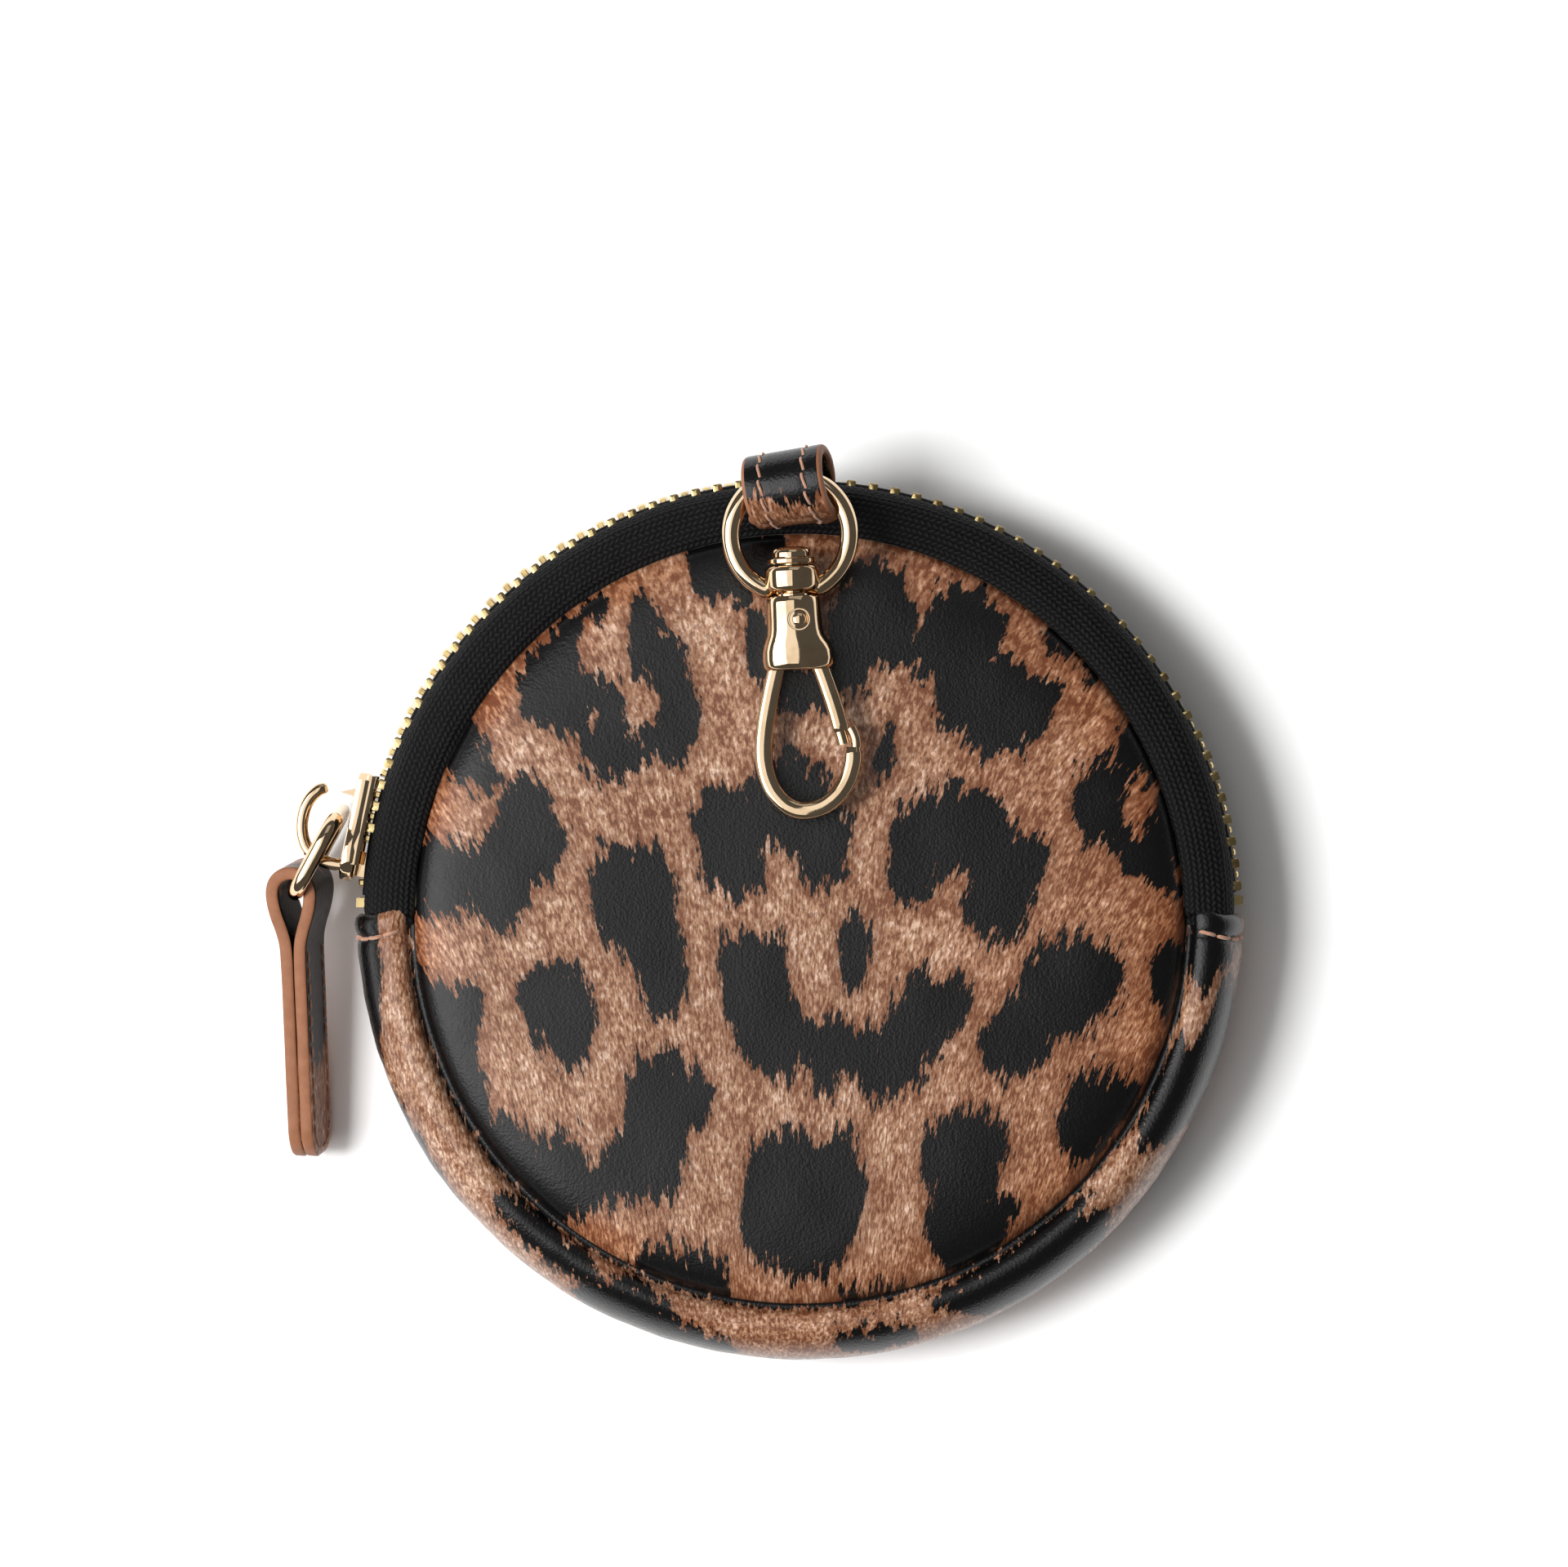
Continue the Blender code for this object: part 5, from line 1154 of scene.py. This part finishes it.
def lofted(rows):
    """A closed body of sections across Y: rows of (y, x0, half width, half depth, power)."""
    rings = []
    for y, x0, hx, hz, power in rows:
        section = super_section(hx, hz, power, x0)
        rings.append(np.stack([section[:, 0], np.full(len(section), y), section[:, 1]], 1))
    return np.vstack(rings), capped_faces(len(rings), len(rings[0]))


def barrel(rows):
    """A closed body of revolution about Y: rows of (y, radius)."""
    return lofted([(y, 0, r, r, 2.0) for y, r in rows])


def round_rivet(rows, sign=1, closed=False):
    """A body of revolution about the rivet: rows of (radius, z), closed into a ring or with its ends filled."""
    b = circle_angles(40)
    rings = [np.stack([RIVET[0] + r * np.cos(b), RIVET[1] + r * np.sin(b), np.full(len(b), sign * z)], 1)
             for r, z in rows]
    return np.vstack(rings), (grid_faces(len(rows), len(b), True) if closed else capped_faces(len(rows), len(b)))


def tapered_bar(path, half_width, half_depth, last, end):
    """A square-edged wire along a path, narrowing to the share end over its last few points."""
    line = smooth_path([(x, y, 0) for x, y in path], 0.3)
    n = len(line)
    taper = np.interp(np.arange(n), [0, n - last, n - 1], [1.0, 1.0, end])
    return tube(line, super_section(half_width, half_depth, 3.2, 0.0, 32)[None] * taper[:, None, None])


def thin_bar(path, radius):
    return tube(smooth_path([(x, y, 0) for x, y in path], 0.2), ring_section(radius, 16))


def make_clip():
    # the ring and its collar
    a = np.radians(np.linspace(-90 + 28, 270 - 28, 120))
    path = np.stack([7.25 * np.cos(a), 7.25 * np.sin(a), 0 * a], 1)
    path = np.vstack([[(2.0, -6.15, 0)], path, [(-2.0, -6.15, 0)]])
    ring = tube(smooth_path(path, 0.35), ring_section(1.15, 28))
    collar = [(-3.75, 1.5), (-3.72, 2.75), (-3.85, 3.1), (-4.1, 3.32), (-4.5, 3.4), (-6.2, 3.4), (-6.55, 3.3),
              (-6.8, 3.05), (-6.9, 2.7), (-6.9, 1.5)]
    clip_piece("clip_ring_wire", [ring, barrel(collar)], "ring", "clip_ring")
    # the pin: a domed head and a neck below, and the washer between
    head = [(-1.42, 0.9), (-1.46, 1.6), (-1.62, 2.1), (-1.9, 2.38), (-2.2, 2.46), (-2.68, 2.46)]
    neck = [(-2.0, 1.2), (-7.0, 1.2), (-8.0, 1.2)]
    clip_piece("pin_metal", [barrel(head), barrel(neck)], "hook", "swivel_pin")
    washer = [(-2.82, 1.4), (-2.84, 2.9), (-2.98, 3.08), (-3.4, 3.1), (-3.55, 2.95), (-3.58, 1.4)]
    clip_piece("pin_washer_metal", [barrel(washer)], "hook", "pin_washer")
    # the hook's body: a neck, a tapering barrel and a waist that flares into a rounded skirt
    rows = [
        (-7.02, 0, 1.4, 1.4, 2.0), (-7.05, 0, 1.9, 1.9, 2.0), (-7.2, 0, 2.05, 2.05, 2.0), (-7.44, 0, 2.05, 2.05, 2.0),
        (-7.46, 0, 2.9, 2.9, 2.1), (-7.55, 0, 3.15, 3.12, 2.2), (-7.8, 0, 3.27, 3.25, 2.25), (-8.4, 0, 3.32, 3.3, 2.3),
        (-10.4, 0.02, 3.36, 3.32, 2.3), (-11.6, 0.04, 3.42, 3.32, 2.3), (-12.3, 0.08, 3.55, 3.3, 2.35),
        (-12.9, 0.15, 3.85, 3.32, 2.4), (-13.5, 0.25, 4.15, 3.4, 2.4), (-14.2, 0.32, 4.36, 3.44, 2.4),
        (-15.2, 0.35, 4.42, 3.42, 2.4), (-15.9, 0.34, 4.34, 3.35, 2.4), (-16.3, 0.32, 4.15, 3.15, 2.4),
        (-16.48, 0.3, 3.85, 2.85, 2.4), (-16.5, 0.3, 2.0, 1.6, 2.2),
    ]
    body = lofted(rows)
    # a shallow raised rim round the rivet
    rim = round_rivet([(1.12, 3.27), (1.2, 3.38), (1.32, 3.38), (1.42, 3.28), (1.42, 3.1), (1.1, 3.1)], closed=True)
    bow = tapered_bar([(-2.2, -14.8), (-2.5, -16.5), (-3.3, -19.5), (-4.1, -23.0), (-4.5, -26.4), (-4.2, -29.2),
                       (-3.3, -31.4), (-1.7, -33.1), (0.2, -33.7), (2.4, -33.3), (4.3, -32.0), (5.6, -30.2),
                       (6.3, -28.2), (6.5, -26.2)], 1.08, 1.05, 4, 0.8)
    # the bow's hooked tip that the gate closes into
    tip = thin_bar([(6.85, -26.4), (6.85, -25.4), (6.65, -24.6), (6.3, -23.8)], 0.68)
    clip_piece("hook_metal", [body, rim, bow, tip], "hook", "hook_body")
    # the gate, its end thinner beside the tip
    shank = tapered_bar([(0.9, -11.6), (1.9, -13.6), (3.05, -16.5), (4.4, -21.0), (5.15, -24.2)], 1.06, 1.03, 3, 0.86)
    heel = thin_bar([(4.85, -23.8), (5.12, -24.9), (5.32, -25.8)], 0.76)
    eye = round_rivet([(1.6, -1.05), (1.85, -0.95), (1.9, -0.6), (1.9, 0.6), (1.85, 0.95), (1.6, 1.05)])
    clip_piece("gate_metal", [shank, heel, eye], "gate", "hook_gate")
    # the rivet's domed heads
    dome = [(0.86, 0.0), (0.86, 3.25), (0.84, 3.38), (0.7, 3.5), (0.45, 3.58), (0.15, 3.61)]
    clip_piece("rivet_metal", [round_rivet(dome, sign) for sign in (1, -1)], "hook", "gate_rivet", 50.0)


make_panels()
make_insides()
make_gusset()
make_tape("front_tape", True)
make_tape("back_tape", False)
make_teeth()
make_pull_tab(make_slider())
make_loop()
make_clip()

# CAD nodes that show as they are: the zip's stops, the leaf and the gate's spring
for name, material in (("bottom_stop", BRASS), ("front_top_stop", BRASS), ("back_top_stop", BRASS),
                       ("hook_leaf", GOLD), ("gate_spring", GOLD)):
    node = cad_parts[name]
    node.data.materials.clear()
    node.data.materials.append(material)


# The floor, the lights and the camera

def make_floor():
    floor = Nodes("white_floor", (0.9, 0.9, 0.9), 0.95)
    floor.set(color=floor.mix(floor.noise(floor.object_point(), 3.0, 1.0), (0.96, 0.96, 0.96), (0.98, 0.98, 0.98)),
              Specular_IOR_Level=0.1)
    mesh = bpy.data.meshes.new("floor")
    s = 3.0
    mesh.from_pydata([(-s, -s, 0), (s, -s, 0), (s, s, 0), (-s, s, 0)], [], [(0, 1, 2, 3)])
    mesh.materials.append(floor.material)
    made = bpy.data.objects.new("floor", mesh)
    bpy.context.scene.collection.objects.link(made)
    made.location.z = -0.0003


def add_area(name, place, target, size, power):
    light = bpy.data.lights.new(name, "AREA")
    light.shape = "RECTANGLE"
    light.size, light.size_y = size
    light.energy = power
    made = bpy.data.objects.new(name, light)
    bpy.context.scene.collection.objects.link(made)
    made.location = place
    made.rotation_mode = "QUATERNION"
    made.rotation_quaternion = (Vector(target) - Vector(place)).to_track_quat("-Z", "Y")
    return made


make_floor()
add_area("tent_left", (-0.93, -0.10, 0.95), (0, 0, 0.01), (1.15, 1.15), 11.6)
add_area("tent_top", (-0.21, 0.0, 1.1), (-0.21, 0, 0.01), (0.46, 1.0), 1.55)
add_area("fill_far", (0.15, 0.95, 0.85), (0, 0, 0.01), (0.8, 0.8), 0.8)
key = add_area("key_left", (-0.74, 0.0, 1.2), (0, 0, 0.01), (0.42, 0.42), 17.5)
key.visible_glossy = False

world = bpy.data.worlds.new("studio")
bpy.context.scene.world = world
world.use_nodes = True
world.node_tree.nodes["Background"].inputs["Color"].default_value = (1, 1, 1, 1)
world.node_tree.nodes["Background"].inputs["Strength"].default_value = 0.095

camera = bpy.data.cameras.new("camera")
camera.sensor_width = 36.0
camera.lens = 138.4
camera.clip_start, camera.clip_end = 0.01, 20.0
holder = bpy.data.objects.new("camera", camera)
bpy.context.scene.collection.objects.link(holder)
holder.location = (-0.00193, 0.01667, 0.7605)
bpy.context.scene.camera = holder
bpy.context.scene.view_settings.view_transform = "Standard"
